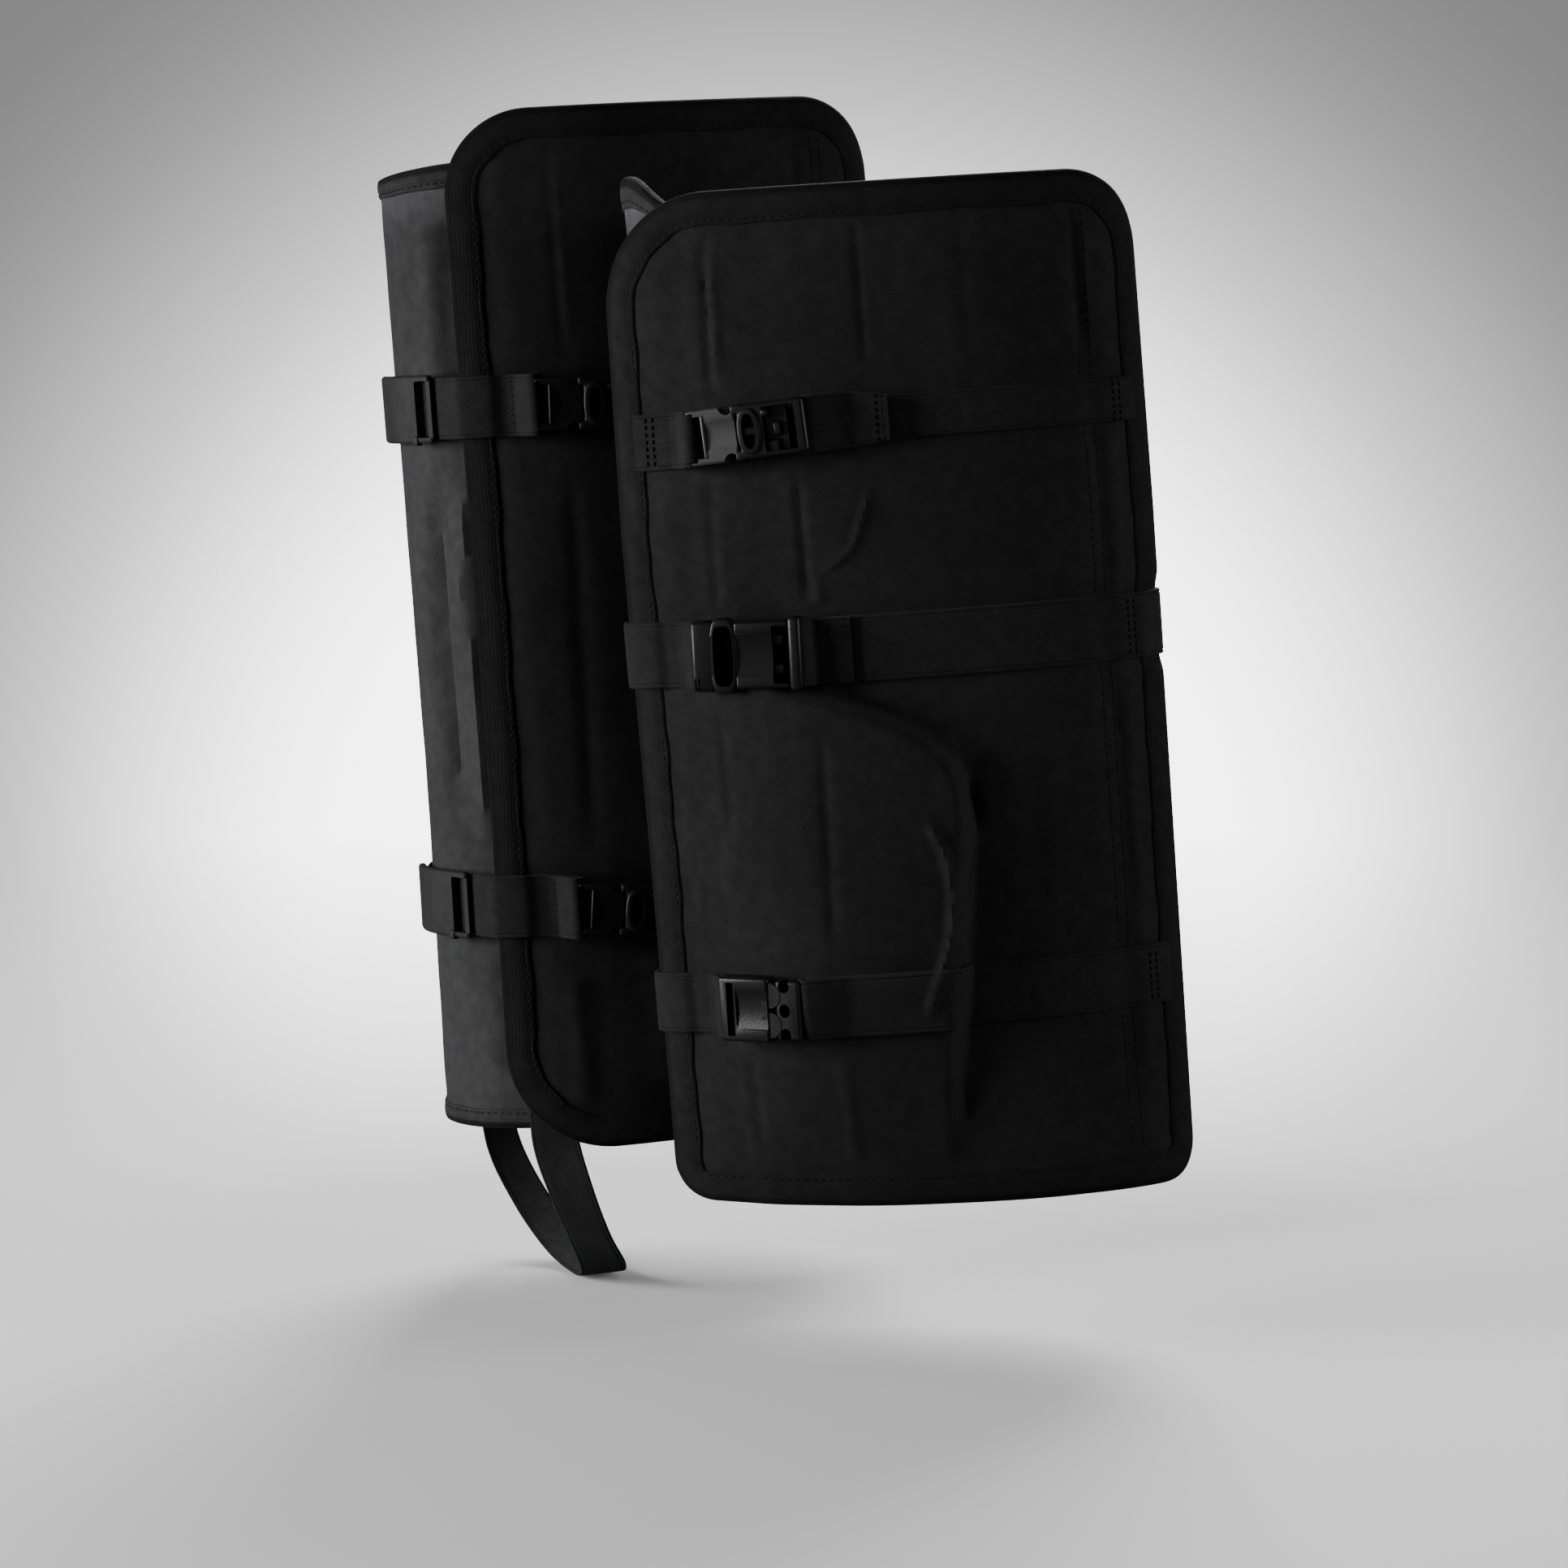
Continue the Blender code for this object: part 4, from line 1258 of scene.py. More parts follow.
def plain_weave_group() -> NodeTree:
    """Over-and-under threads: height of the cloth and a mask of its gaps.

    Returns:
        The group.
    """
    group = SharedGroup("Plain weave", {"Threads": 1600.0}, ("Height", "Gap"))
    wire = group.wire
    place = wire.parts(group.inputs["Vector"])
    across = wire.math("MULTIPLY", place["X"], group.inputs["Threads"])
    up = wire.math("MULTIPLY", place["Y"], group.inputs["Threads"])
    parity = wire.math("PINGPONG", wire.math("ADD", wire.math("FLOOR", across), wire.math("FLOOR", up)), 1.0)
    warp, weft = wire.arch(across), wire.arch(up)
    over = wire.math("MULTIPLY", wire.math("POWER", warp, 0.6), parity)
    under = wire.math("MULTIPLY", wire.math("POWER", weft, 0.6), wire.math("SUBTRACT", 1.0, parity))
    gap = wire.math("SUBTRACT", 1.0, wire.math("MULTIPLY", warp, weft))
    return group.finish(wire.math("ADD", over, under), wire.math("POWER", gap, 3.0))


def rib_group() -> NodeTree:
    """Ribs of woven tape: cross ribs with a finer thread along them.

    Returns:
        The group.
    """
    group = SharedGroup("Woven ribs", {"Ribs": 900.0, "Cords": 700.0}, ("Height", "Gap"))
    wire = group.wire
    place = wire.parts(group.inputs["Vector"])
    along = wire.math("MULTIPLY", place["X"], group.inputs["Ribs"])
    across = wire.math("MULTIPLY", place["Y"], group.inputs["Cords"])
    shifted = wire.math("ADD", along, wire.math("MULTIPLY", wire.math("FLOOR", across), 0.5))
    rib = wire.math("POWER", wire.arch(shifted), 0.7)
    height = wire.math("MULTIPLY", rib, wire.math("POWER", wire.arch(across), 0.5))
    return group.finish(height, wire.math("SUBTRACT", 1.0, height))


def wear_group() -> NodeTree:
    """Uneven dye, worn places and faint dust, from Object coordinates.

    Returns:
        The group.
    """
    group = SharedGroup("Dye and dust", {"Dust": 0.3}, ("Shade", "Dust"))
    wire, vector = group.wire, group.inputs["Vector"]
    slow = wire.ramp(wire.speckle(vector, 14.0, 3.0), (0.3, 0.7), (0.82, 1.15))
    quick = wire.ramp(wire.speckle(vector, 190.0, 5.0), (0.3, 0.7), (0.78, 1.22))
    fine = wire.ramp(wire.speckle(vector, 900.0, 2.0), (0.62, 0.80), (0.0, 1.0))
    return group.finish(wire.math("MULTIPLY", slow, quick), wire.math("MULTIPLY", fine, group.inputs["Dust"]))


@dataclass(frozen=True)
class Finish:
    """A finish of cloth, tape, webbing, thread or plastic.

    `threads` are the pattern's own numbers a metre. The pale top is a painted light: how much paler the top
    band of a panel is painted. The fold shade is a painted shadow: how much darker a tape is painted along
    its fold.
    """

    name: str
    colour: tuple[float, float, float]
    roughness: float
    specular: float
    sheen: float = 0.0
    bump: float = 0.30
    grain: float = 1.0
    dust: float = 0.02
    pattern: Pattern | None = None
    threads: tuple[float, ...] = ()
    gap_shade: float = 0.55
    painted_light_top: float = 1.0
    painted_light_band: Span = (0.378, 0.402)
    painted_fold_shade: float = 1.0
    fold_middle: float = -0.0020
    fold_band: Span = (0.0032, 0.0044)
    headroom: float = 1.3

    def build(self, groups: dict[str, NodeTree]) -> bpy.types.Material:
        """Make the material.

        Args:
            groups: the shared node groups by name.

        Returns:
            The material, with constants on the shader's own sockets.
        """
        material = bpy.data.materials.new(self.name)
        material.use_nodes = True
        tree = material.node_tree
        wire = Wiring(tree)
        inputs = tree.nodes["Principled BSDF"].inputs
        for label, value in (("Metallic", 0.0), ("Specular IOR Level", self.specular),
                             ("Sheen Weight", self.sheen), ("Sheen Roughness", 0.45),
                             ("Sheen Tint", (0.75, 0.78, 0.85, 1.0))):
            inputs[label].default_value = value
        places = tree.nodes.new("ShaderNodeTexCoord").outputs
        wear = wire.place_group(groups["wear"], places["Object"], (self.dust,))
        tone = wear["Shade"]
        height = wire.math("MULTIPLY", wire.speckle(places["Object"], 1400.0, 2.0), self.grain)
        if self.pattern:
            weave = wire.place_group(groups[self.pattern.value], places["UV"], self.threads)
            height = wire.math("ADD", height, weave["Height"])
            tone = wire.math("MULTIPLY", tone, wire.ramp(weave["Gap"], (0.0, 1.0), (1.0, self.gap_shade)))
        # Painted light: the top band of the panel is painted paler, and the brightest colour is raised to
        # match.
        if self.painted_light_top > 1.0:
            up = wire.parts(places["UV"])["Y"]
            tone = wire.math("MULTIPLY", tone, wire.ramp(up, self.painted_light_band, (1.0 / self.painted_light_top, 1.0)))
        # Painted shadow: the tape is painted darker along its folded edge.
        if self.painted_fold_shade < 1.0:
            across = wire.parts(places["UV"])["Y"]
            from_fold = wire.math("ABSOLUTE", wire.math("SUBTRACT", across, self.fold_middle))
            tone = wire.math("MULTIPLY", tone, wire.ramp(from_fold, self.fold_band, (self.painted_fold_shade, 1.0)))
        brightest = [value * self.headroom * self.painted_light_top for value in self.colour]
        tint = wire.mix(wire.math("DIVIDE", tone, self.headroom), (0.0, 0.0, 0.0), brightest)
        tree.links.new(wire.mix(wear["Dust"], tint, (0.20, 0.19, 0.18)), inputs["Base Color"])
        rough = wire.ramp(wear["Shade"], (0.7, 1.3), (self.roughness + 0.06, self.roughness - 0.06))
        tree.links.new(rough, inputs["Roughness"])
        bump = tree.nodes.new("ShaderNodeBump")
        bump.inputs["Strength"].default_value = self.bump
        bump.inputs["Distance"].default_value = 0.00025
        tree.links.new(height, bump.inputs["Height"])
        tree.links.new(bump.outputs["Normal"], inputs["Normal"])
        return material


FINISHES = {
    "flap": Finish("black close-woven nylon", (0.0070, 0.0070, 0.0073), roughness=0.80, specular=0.12,
                   sheen=0.04, bump=0.60, grain=0.5, pattern=Pattern.WEAVE, threads=(1500.0,)),
    # The wrap's top band is painted 2.6 times paler, a painted light.
    "wrap": Finish("charcoal coated nylon", (0.0196, 0.0196, 0.0205), roughness=0.72, specular=0.14,
                   sheen=0.05, bump=0.50, grain=0.5, pattern=Pattern.WEAVE, threads=(1700.0,), painted_light_top=2.6),
    # Both bindings are painted darker along their folds, a painted shadow.
    "binding": Finish("black grosgrain binding", (0.0046, 0.0046, 0.0048), roughness=0.78, specular=0.10,
                      sheen=0.03, bump=0.50, grain=0.8, pattern=Pattern.RIBS, threads=(1500.0, 700.0),
                      painted_fold_shade=0.05),
    "wrap_binding": Finish("charcoal binding", (0.0180, 0.0180, 0.0188), roughness=0.76, specular=0.10,
                           sheen=0.03, bump=0.50, grain=0.8, pattern=Pattern.RIBS, threads=(1500.0, 700.0),
                           painted_fold_shade=0.06),
    "webbing": Finish("black ribbed webbing", (0.0062, 0.0062, 0.0065), roughness=0.72, specular=0.12,
                      sheen=0.04, bump=0.80, grain=0.5, pattern=Pattern.RIBS, threads=(1000.0, 1150.0)),
    "thread": Finish("black bonded thread", (0.0036, 0.0036, 0.0038), roughness=0.66, specular=0.09,
                     sheen=0.03, dust=0.0),
    "buckle": Finish("black moulded acetal", (0.0050, 0.0050, 0.0053), roughness=0.34, specular=0.13,
                     bump=0.22),
    "slide": Finish("dull moulded acetal", (0.0105, 0.0105, 0.0108), roughness=0.62, specular=0.14,
                    dust=0.03),
    # Painted highlight: the same acetal painted five times lighter, for the glint on one latch's plate.
    "painted_highlight": Finish("rubbed moulded acetal", (0.0260, 0.0260, 0.0270), roughness=0.46, specular=0.32,
                     dust=0.03),
}


# ---- Stitches ----


@dataclass
class StitchRow:
    """Gathers the places of a piece's stitches and makes them as one mesh."""

    name: str
    length: float = 0.0025
    pitch: float = 0.0034
    thread: float = 0.00034
    heading: float = 0.0008
    places: list[Array] = field(default_factory=list)

    def run(self, points: Array, normals: Array) -> None:
        """Lay stitches along a line.

        Args:
            points: the line, one row a point.
            normals: the way the thread faces at each point.
        """
        travelled = travelled_along(points)
        centres = np.arange(self.pitch / 2.0, travelled[-1], self.pitch)
        ahead = read_line(np.minimum(centres + self.heading, travelled[-1]), travelled, points)
        behind = read_line(np.maximum(centres - self.heading, 0.0), travelled, points)
        middle, facing = (read_line(centres, travelled, rows) for rows in (points, normals))
        self.places.extend(np.stack((middle, ahead - behind, facing), axis=1))

    def make(self) -> Piece:
        """Copy one short barrel of thread to every place.

        Returns:
            The stitches, as one piece.
        """
        deselect()
        bpy.ops.mesh.primitive_uv_sphere_add(segments=5, ring_count=4, radius=1.0)
        piece = take_new(self.name)
        size = np.array((self.length / 2.0, self.thread * 1.3, self.thread))
        template = get_points(piece)[:, [2, 1, 0]] * size
        faces = [tuple(polygon.vertices)[::-1] for polygon in piece.data.polygons]
        points = []
        all_faces: list[tuple[int, ...]] = []
        for index, (place, along, out) in enumerate(self.places):
            along = unit(along)
            out = unit(out - along * np.dot(out, along))
            points.append(template @ np.stack((along, np.cross(out, along), out)) + place)
            all_faces.extend(tuple(corner + index * len(template) for corner in face) for face in faces)
        piece.data.clear_geometry()
        piece.data.from_pydata(np.concatenate(points).tolist(), [], all_faces)
        piece.data.update()
        outward_faces(piece)
        shade(piece, 80.0)
        return piece


def surface_line(form: Form, girth: Array, height: Array, out: Offset) -> tuple[Array, Array]:
    """A line on a form's cloth with its normals.

    Args:
        form: the form.
        girth: girth positions along the line.
        height: heights along it.
        out: offset of the cloth's face.

    Returns:
        The points and the outward normals, in the frame's axes.
    """
    lift = out(girth, height)
    points = form.surface(girth, height, lift)
    raised = form.surface(girth, height, lift + 0.001)
    return form.world(points), (raised - points) @ form.turning.T


# ---- Moulded pieces ----

THROUGH = (-0.02, 0.02)


def even(half: float) -> Span:
    """A span that reaches as far below 0 as above it."""
    return -half, half


@dataclass
class Moulding:
    """A moulded plastic piece, shaped from blocks at the origin and then set in its seat."""

    piece: Piece

    @classmethod
    def block(cls, name: str, x: Span, y: Span, z: Span) -> Moulding:
        """Start from a box.

        Args:
            name: its name.
            x: its ends along X.
            y: its ends along Y.
            z: its ends along Z.

        Returns:
            The box.
        """
        deselect()
        middle = [(low + high) / 2.0 for low, high in (x, y, z)]
        size = [high - low for low, high in (x, y, z)]
        bpy.ops.mesh.primitive_cube_add(size=1.0, location=middle, scale=size)
        piece = take_new(name)
        bpy.ops.object.transform_apply(location=True, rotation=True, scale=True)
        return cls(piece)

    @classmethod
    def barrel(cls, name: str, axis: Axis, centre: Sequence[float], radii: Span, length: float,
               sides: int = 40, squareness: float = 1.0) -> Moulding:
        """Start from an elliptic cylinder.

        Args:
            name: its name.
            axis: which way it lies.
            centre: its middle.
            radii: its two radii, in the order of the remaining axes.
            length: its length along the axis.
            sides: facets round it.
            squareness: 1 for an ellipse, less for a squarer outline.

        Returns:
            The cylinder.
        """
        deselect()
        bpy.ops.mesh.primitive_cylinder_add(vertices=sides, radius=1.0, depth=1.0)
        piece = take_new(name)
        points = get_points(piece)
        points[:, :2] = signed_power(points[:, :2], squareness)
        points *= np.array((*radii, length))
        set_points(piece, points[:, list(axis.value)] + np.array(centre))
        outward_faces(piece)
        return cls(piece)

    def bevel(self, width: float, segments: int) -> Moulding:
        """Round the edges.

        Args:
            width: how far the rounding reaches.
            segments: faces over it.

        Returns:
            The moulding itself.
        """
        rounding = self.piece.modifiers.new("rounding", "BEVEL")
        rounding.width = width
        rounding.segments = segments
        rounding.limit_method = "ANGLE"
        rounding.angle_limit = math.radians(40.0)
        apply_modifiers(self.piece)
        return self

    def combine(self, join: Join, other: Moulding) -> None:
        """Cut a shape out of the piece, or join it on, and remove the shape.

        Args:
            join: cut or add.
            other: the shape.
        """
        change = self.piece.modifiers.new(join.name, "BOOLEAN")
        change.operation = join.value
        change.object = other.piece
        change.solver = "EXACT"
        apply_modifiers(self.piece)
        bpy.data.objects.remove(other.piece)

    def cut(self, x: Span, y: Span, z: Span, radius: float = 0.0) -> None:
        """Cut a box out."""
        box = Moulding.block("cut", x, y, z)
        self.combine(Join.CUT, box.bevel(radius, 4) if radius else box)

    def add(self, x: Span, y: Span, z: Span, radius: float) -> None:
        """Join a box on, whose edges are rounded by `radius`."""
        self.combine(Join.ADD, Moulding.block("block", x, y, z).bevel(radius, 3))

    def seat(self, place: Matrix) -> Piece:
        """Move the piece into its seat.

        Args:
            place: the seat's place and turn.

        Returns:
            The finished piece.
        """
        self.piece.data.transform(place)
        shade(self.piece, 32.0)
        return self.piece


@dataclass(frozen=True)
class Buckle:
    """Sizes of a side-release buckle: X along the strap from the joint of its halves, Z over its height.

    Its front lies at Y = -depth. `latch_bar` gives the bar's place, its height above the cloth and how far
    the webbing clears its middle.
    """

    height: float
    latch_end: float
    socket_start: float
    socket_end: float = 0.030
    latch_bar: tuple[float, float, float] = (-0.0138, 0.00725, 0.0034)
    socket_bar: float = 0.0284
    depth: float = 0.0085
    base: float = 0.015
    seat_lift: float = 0.0030
    wall: float = 0.0019
    back: float = -0.0004

    def plate(self, name: str, start: float, end: float, half: float, radius: float) -> Moulding:
        """Start a half from a thick plate with rounded edges."""
        return Moulding.block(name, (start, end), (-self.depth, self.back), even(half)).bevel(radius, 4)

    def oval(self, x: float, reach: float, half: float, depths: Span, squareness: float = 0.8) -> Moulding:
        """An upright oval block between two depths in front of the seat."""
        centre = (x, -sum(depths) / 2.0, 0.0)
        return Moulding.barrel("oval", Axis.Y, centre, (reach, half), depths[1] - depths[0], 48, squareness)

    def sink_valley(self, made: Moulding, x: Span, half: float, sink: float) -> None:
        """Cut a shallow valley along the strap that leaves a rail above and below it.

        Args:
            made: the half to cut.
            x: the valley's ends.
            half: half of its height.
            sink: its depth.
        """
        radius = 0.0030
        centre = ((x[0] + x[1]) / 2.0, -self.depth - radius + sink, 0.0)
        valley = Moulding.barrel("valley", Axis.X, centre, (radius, half), x[1] - x[0], 48)
        made.combine(Join.CUT, valley)

    def latch(self, name: str) -> Moulding:
        """Male half."""
        raise NotImplementedError

    def socket_half(self, name: str) -> Moulding:
        """Female half."""
        raise NotImplementedError


@dataclass(frozen=True)
class WindowBuckle(Buckle):
    """A waisted latch, and a socket with a rimmed oval window and an open bay before its bar."""

    height: float = 0.0216
    latch_end: float = 0.0052
    socket_start: float = 0.0054
    socket_end: float = 0.0328
    socket_bar: float = 0.0312
    slot: Span = (-0.0126, -0.0086)
    window: float = 0.0102
    bay: Span = (0.0160, 0.0290)
    pierced: float = 0.0246

    def latch(self, name: str) -> Moulding:
        """Male half: bar, webbing slot and a waisted plate with two rails.

        Args:
            name: the piece's name.

        Returns:
            The moulding, not yet seated.
        """
        half, front, base = self.height / 2.0, -self.depth, -self.base
        made = self.plate(name, base, self.latch_end, half, 0.0014)
        made.cut(self.slot, THROUGH, even(half - 0.0026))
        made.cut((base - 0.001, -0.0118), (front - 0.001, front + 0.0026), even(half - 0.0012), 0.0006)
        self.sink_valley(made, (self.slot[1] + 0.0008, self.latch_end - 0.0006), half - 0.0032, 0.0010)
        made.add((self.slot[1] - 0.0004, self.slot[1] + 0.0010), (front - 0.0005, front + 0.0020),
                 even(half - 0.0024), 0.0006)
        for side in (-1.0, 1.0):
            centre = (0.0018, front / 2.0, side * (half + 0.0012))
            made.combine(Join.CUT, Moulding.barrel("waist", Axis.Y, centre, (0.0034, 0.0046), 0.02))
        made.add((0.0040, 0.0150), (front + 0.0026, front + 0.0058), even(0.0017), 0.0006)
        return made

    def socket_half(self, name: str) -> Moulding:
        """Female half: horns, the window with its rim, the bay with its ribs and the bar.

        Args:
            name: the piece's name.

        Returns:
            The moulding, not yet seated.
        """
        half, front, start = self.height / 2.0, -self.depth, self.socket_start
        made = self.plate(name, start, self.socket_end, half, 0.0016)
        for horn in ((-half, -half + 0.0036), (half - 0.0036, half)):
            made.add((start - 0.0020, start + 0.003), (front, -0.0008), horn, 0.0008)
        made.cut((start - 0.001, 0.0150), (front + self.wall, -self.wall), even(half - self.wall))
        rim = self.oval(self.window, 0.0047, half - 0.0018, (self.depth - 0.0008, self.depth + 0.0012))
        made.combine(Join.ADD, rim.bevel(0.0008, 3))
        opening = self.oval(self.window, 0.0026, half - 0.0040, (self.depth - 0.0030, self.depth + 0.004))
        made.combine(Join.CUT, opening)
        made.cut(self.bay, (front - 0.002, front + 0.0044), even(half - 0.0020), 0.0006)
        made.cut((self.pierced, self.bay[1]), THROUGH, even(half - 0.0020))
        made.add((0.0155, 0.0186), (front - 0.0004, front + 0.0050), (half - 0.0058, half - 0.0030), 0.0009)
        made.add((0.0155, 0.0216), (front + 0.0016, front + 0.0050), (-half + 0.0010, -half + 0.0066), 0.0012)
        made.add((0.0190, 0.0226), (front + 0.0022, front + 0.0050), (-0.0030, 0.0026), 0.0010)
        return made


@dataclass(frozen=True)
class MouthBuckle(Buckle):
    """A plate with an arched ring round a deep gap, and a flat panel that ends in two prongs."""

    height: float = 0.0284
    latch_end: float = -0.0044
    socket_start: float = 0.0032
    latch_bar: tuple[float, float, float] = (-0.0118, 0.0046, 0.0022)
    gap: float = -0.0012
    prong: float = 0.0058

    def latch(self, name: str) -> Moulding:
        """Male half: a plate over the webbing, and the ring round the gap.

        Args:
            name: the piece's name.

        Returns:
            The moulding, not yet seated.
        """
        half, front, base = self.height / 2.0, -self.depth, -self.base
        made = self.plate(name, base + 0.0006, self.latch_end, half - 0.0003, 0.0020)
        ring = self.oval(self.gap, 0.0056, half + 0.0006, (0.0022, self.depth + 0.0001), 0.55)
        made.combine(Join.ADD, ring.bevel(0.0012, 3))
        opening = self.oval(self.gap, 0.0040, half - 0.0024, (-0.002, self.depth + 0.004), 0.5)
        made.combine(Join.CUT, opening)
        made.cut((base - 0.002, -0.0066), (front + 0.0026, 0.004), even(half - 0.0016))
        made.add((base + 0.0020, base + 0.0044), (-0.0030, -0.0010), even(half - 0.0010), 0.0005)
        made.cut((base + 0.0018, base + 0.0040), (front - 0.001, front + 0.0032),
                 (-half + 0.0012, -half + 0.0060), 0.0006)
        return made

    def socket_half(self, name: str) -> Moulding:
        """Female half: railed panel, bay with two prongs, and a taller bar.

        Args:
            name: the piece's name.

        Returns:
            The moulding, not yet seated.
        """
        half, front, end = self.height / 2.0, -self.depth, self.socket_end
        made = self.plate(name, self.socket_start, end - 0.0044, half - 0.0010, 0.0014)
        self.sink_valley(made, (self.socket_start - 0.001, 0.0188), half - 0.0030, 0.0012)
        made.cut((0.0186, 0.0270), (front - 0.002, 0.004), even(half - 0.0028), 0.0008)
        for middle in even(self.prong):
            made.add((0.0170, 0.0232), (front + 0.0022, front + 0.0052),
                     (middle - 0.0024, middle + 0.0024), 0.0014)
        made.add((end - 0.0050, end), (front - 0.0002, -0.0008), (-half - 0.0001, half + 0.0004), 0.0016)
        return made


@dataclass(frozen=True)
class ShortBuckle(Buckle):
    """A railed plate with a scalloped end, and a socket with three round gaps under webbing."""

    height: float = 0.0256
    latch_end: float = 0.0072
    socket_start: float = 0.0098
    socket_end: float = 0.0205
    socket_bar: float = 0.0186
    slot: Span = (-0.0114, -0.0082)

    def latch(self, name: str) -> Moulding:
        """Male half: thin bar, narrow slot, plate and two rounded lobes.

        Args:
            name: the piece's name.

        Returns:
            The moulding, not yet seated.
        """
        half = self.height / 2.0
        made = self.plate(name, -self.base, self.latch_end, half, 0.0013)
        made.cut(self.slot, THROUGH, even(half - 0.0022))
        self.sink_valley(made, (self.slot[1] + 0.0009, self.latch_end - 0.0005), half - 0.0024, 0.0011)
        for side in (-1.0, 1.0):
            centre = (self.latch_end + 0.0004, -0.0050, side * half * 0.46)
            made.combine(Join.ADD, Moulding.barrel("lobe", Axis.Y, centre, (0.0046, 0.0050), 0.0052))
        return made

    def socket_half(self, name: str) -> Moulding:
        """Female half: lower plate with three round gaps.

        Args:
            name: the piece's name.

        Returns:
            The moulding, not yet seated.
        """
        half, front, start = self.height / 2.0, -self.depth, self.socket_start
        made = Moulding.block(name, (start, self.socket_end), (front + 0.0012, self.back),
                              even(half - 0.0010)).bevel(0.0013, 4)
        made.cut((start - 0.001, start + 0.0034), (front + 0.0026, 0.004), even(half - 0.0028))
        for place in (-half * 0.76, 0.0, half * 0.76):
            centre = (start + 0.0042, -0.006, place)
            made.combine(Join.CUT, Moulding.barrel("gap", Axis.Y, centre, (0.0024, 0.0027), 0.03, 32))
        return made


BUCKLES = {
    BuckleKind.WINDOW: WindowBuckle(),
    BuckleKind.MOUTH: MouthBuckle(),
    BuckleKind.SHORT: ShortBuckle(),
}


# ---- Sub-assemblies ----


@dataclass
class Dressing:
    """Puts finished pieces in the frame: their material, body and the nodes they stand for."""

    materials: dict[str, bpy.types.Material]

    def place(self, piece: Piece, finish: str, slot: Slot, nodes: Sequence[str] = ()) -> None:
        """Finish a piece and report it.

        Args:
            piece: the finished object.
            finish: key of its material.
            slot: the record's slot it belongs to; not used.
            nodes: CAD nodes that it replaces.
        """
        piece.data.materials.clear()
        piece.data.materials.append(self.materials[finish])
        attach(piece, BODY)
        if nodes:
            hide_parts(*nodes)
        LOG.info("%s: %d faces, %s", piece.name, len(piece.data.polygons), finish)


@dataclass
class Gaiter:
    """One gaiter: wrap, flap, their bound edges, closures and stitches."""

    plan: GaiterPlan
    dressing: Dressing
    wrap_pitch: float = 0.0034
    flap_pitch: float = 0.0016
    tape_pitch: float = 0.0022
    tape_stitch_inset: float = 0.0018
    seam_end: float = 0.016

    def __post_init__(self) -> None:
        """Lay out the two forms."""
        self.leg = WrapForm(self.plan)
        self.flap = FlapForm(self.plan)

    def build(self) -> None:
        """Make and dress every piece."""
        self.build_panel("wrap", self.leg, self.wrap_pitch, Slot.WRAP, "wrap_binding")
        self.build_panel("flap", self.flap, self.flap_pitch, Slot.FLAP, "binding")
        self.build_seams()
        for strap in self.plan.straps:
            Closure(self, strap).build()

    def build_panel(self, label: str, form: Form, pitch: float, slot: Slot, binding: str) -> None:
        """Args:
            label: wrap or flap, which is also its finish.
            form: the panel's form.
            pitch: distance between its mesh lines.
            slot: its slot in the record.
            binding: finish of its bound edge.
        """
        name = "%s_%s" % (self.plan.name, label)
        cloth = panel(name + "_cloth", form, pitch)
        self.dressing.place(cloth, label, slot, (name,))
        outline = panel_outline(form, self.tape_pitch)
        tape = bound_edge(name + "_tape", form, outline)
        self.dressing.place(tape, binding, Slot.BINDING, (name + "_binding",))
        thread = self.stitch_tape(name, form, outline)
        self.dressing.place(thread, "thread", Slot.BINDING)
        lost = (1.0 - math.pi / 4.0) * sum(radius ** 2 for radius in astuple(form.corners))

    def stitch_tape(self, name: str, form: Form, outline: Outline) -> Piece:
        """Stitch a bound edge once round.

        Args:
            name: the panel's name.
            form: the panel's form.
            outline: the panel's outline.

        Returns:
            The stitches.
        """
        inside = form.tape_width - self.tape_stitch_inset
        girth = np.append(outline.girth + outline.inward[:, 0] * inside, outline.girth[0])
        height = np.append(outline.height + outline.inward[:, 1] * inside, outline.height[0] + inside)
        stitches = StitchRow(name + "_tape_stitches")
        stitches.run(*surface_line(form, girth, form.raised(girth, height),
                                   lambda g, h: form.outer(g, h) + CLOTH.tape_lift * 0.72))
        return stitches.make()

    def build_seams(self) -> None:
        """Stitch the flap down to the wrap near its calf side."""
        form = self.flap
        row = StitchRow(self.plan.name + "_flap_seam_stitches")
        height = np.linspace(form.low + self.seam_end, form.high - self.seam_end, 260)
        for shift in even(CLOTH.stitch_gap):
            girth = np.full(height.shape, form.right - CLOTH.stitch_inset + shift)
            row.run(*surface_line(form, girth, height, form.outer))
        self.dressing.place(row.make(), "thread", Slot.FLAP)


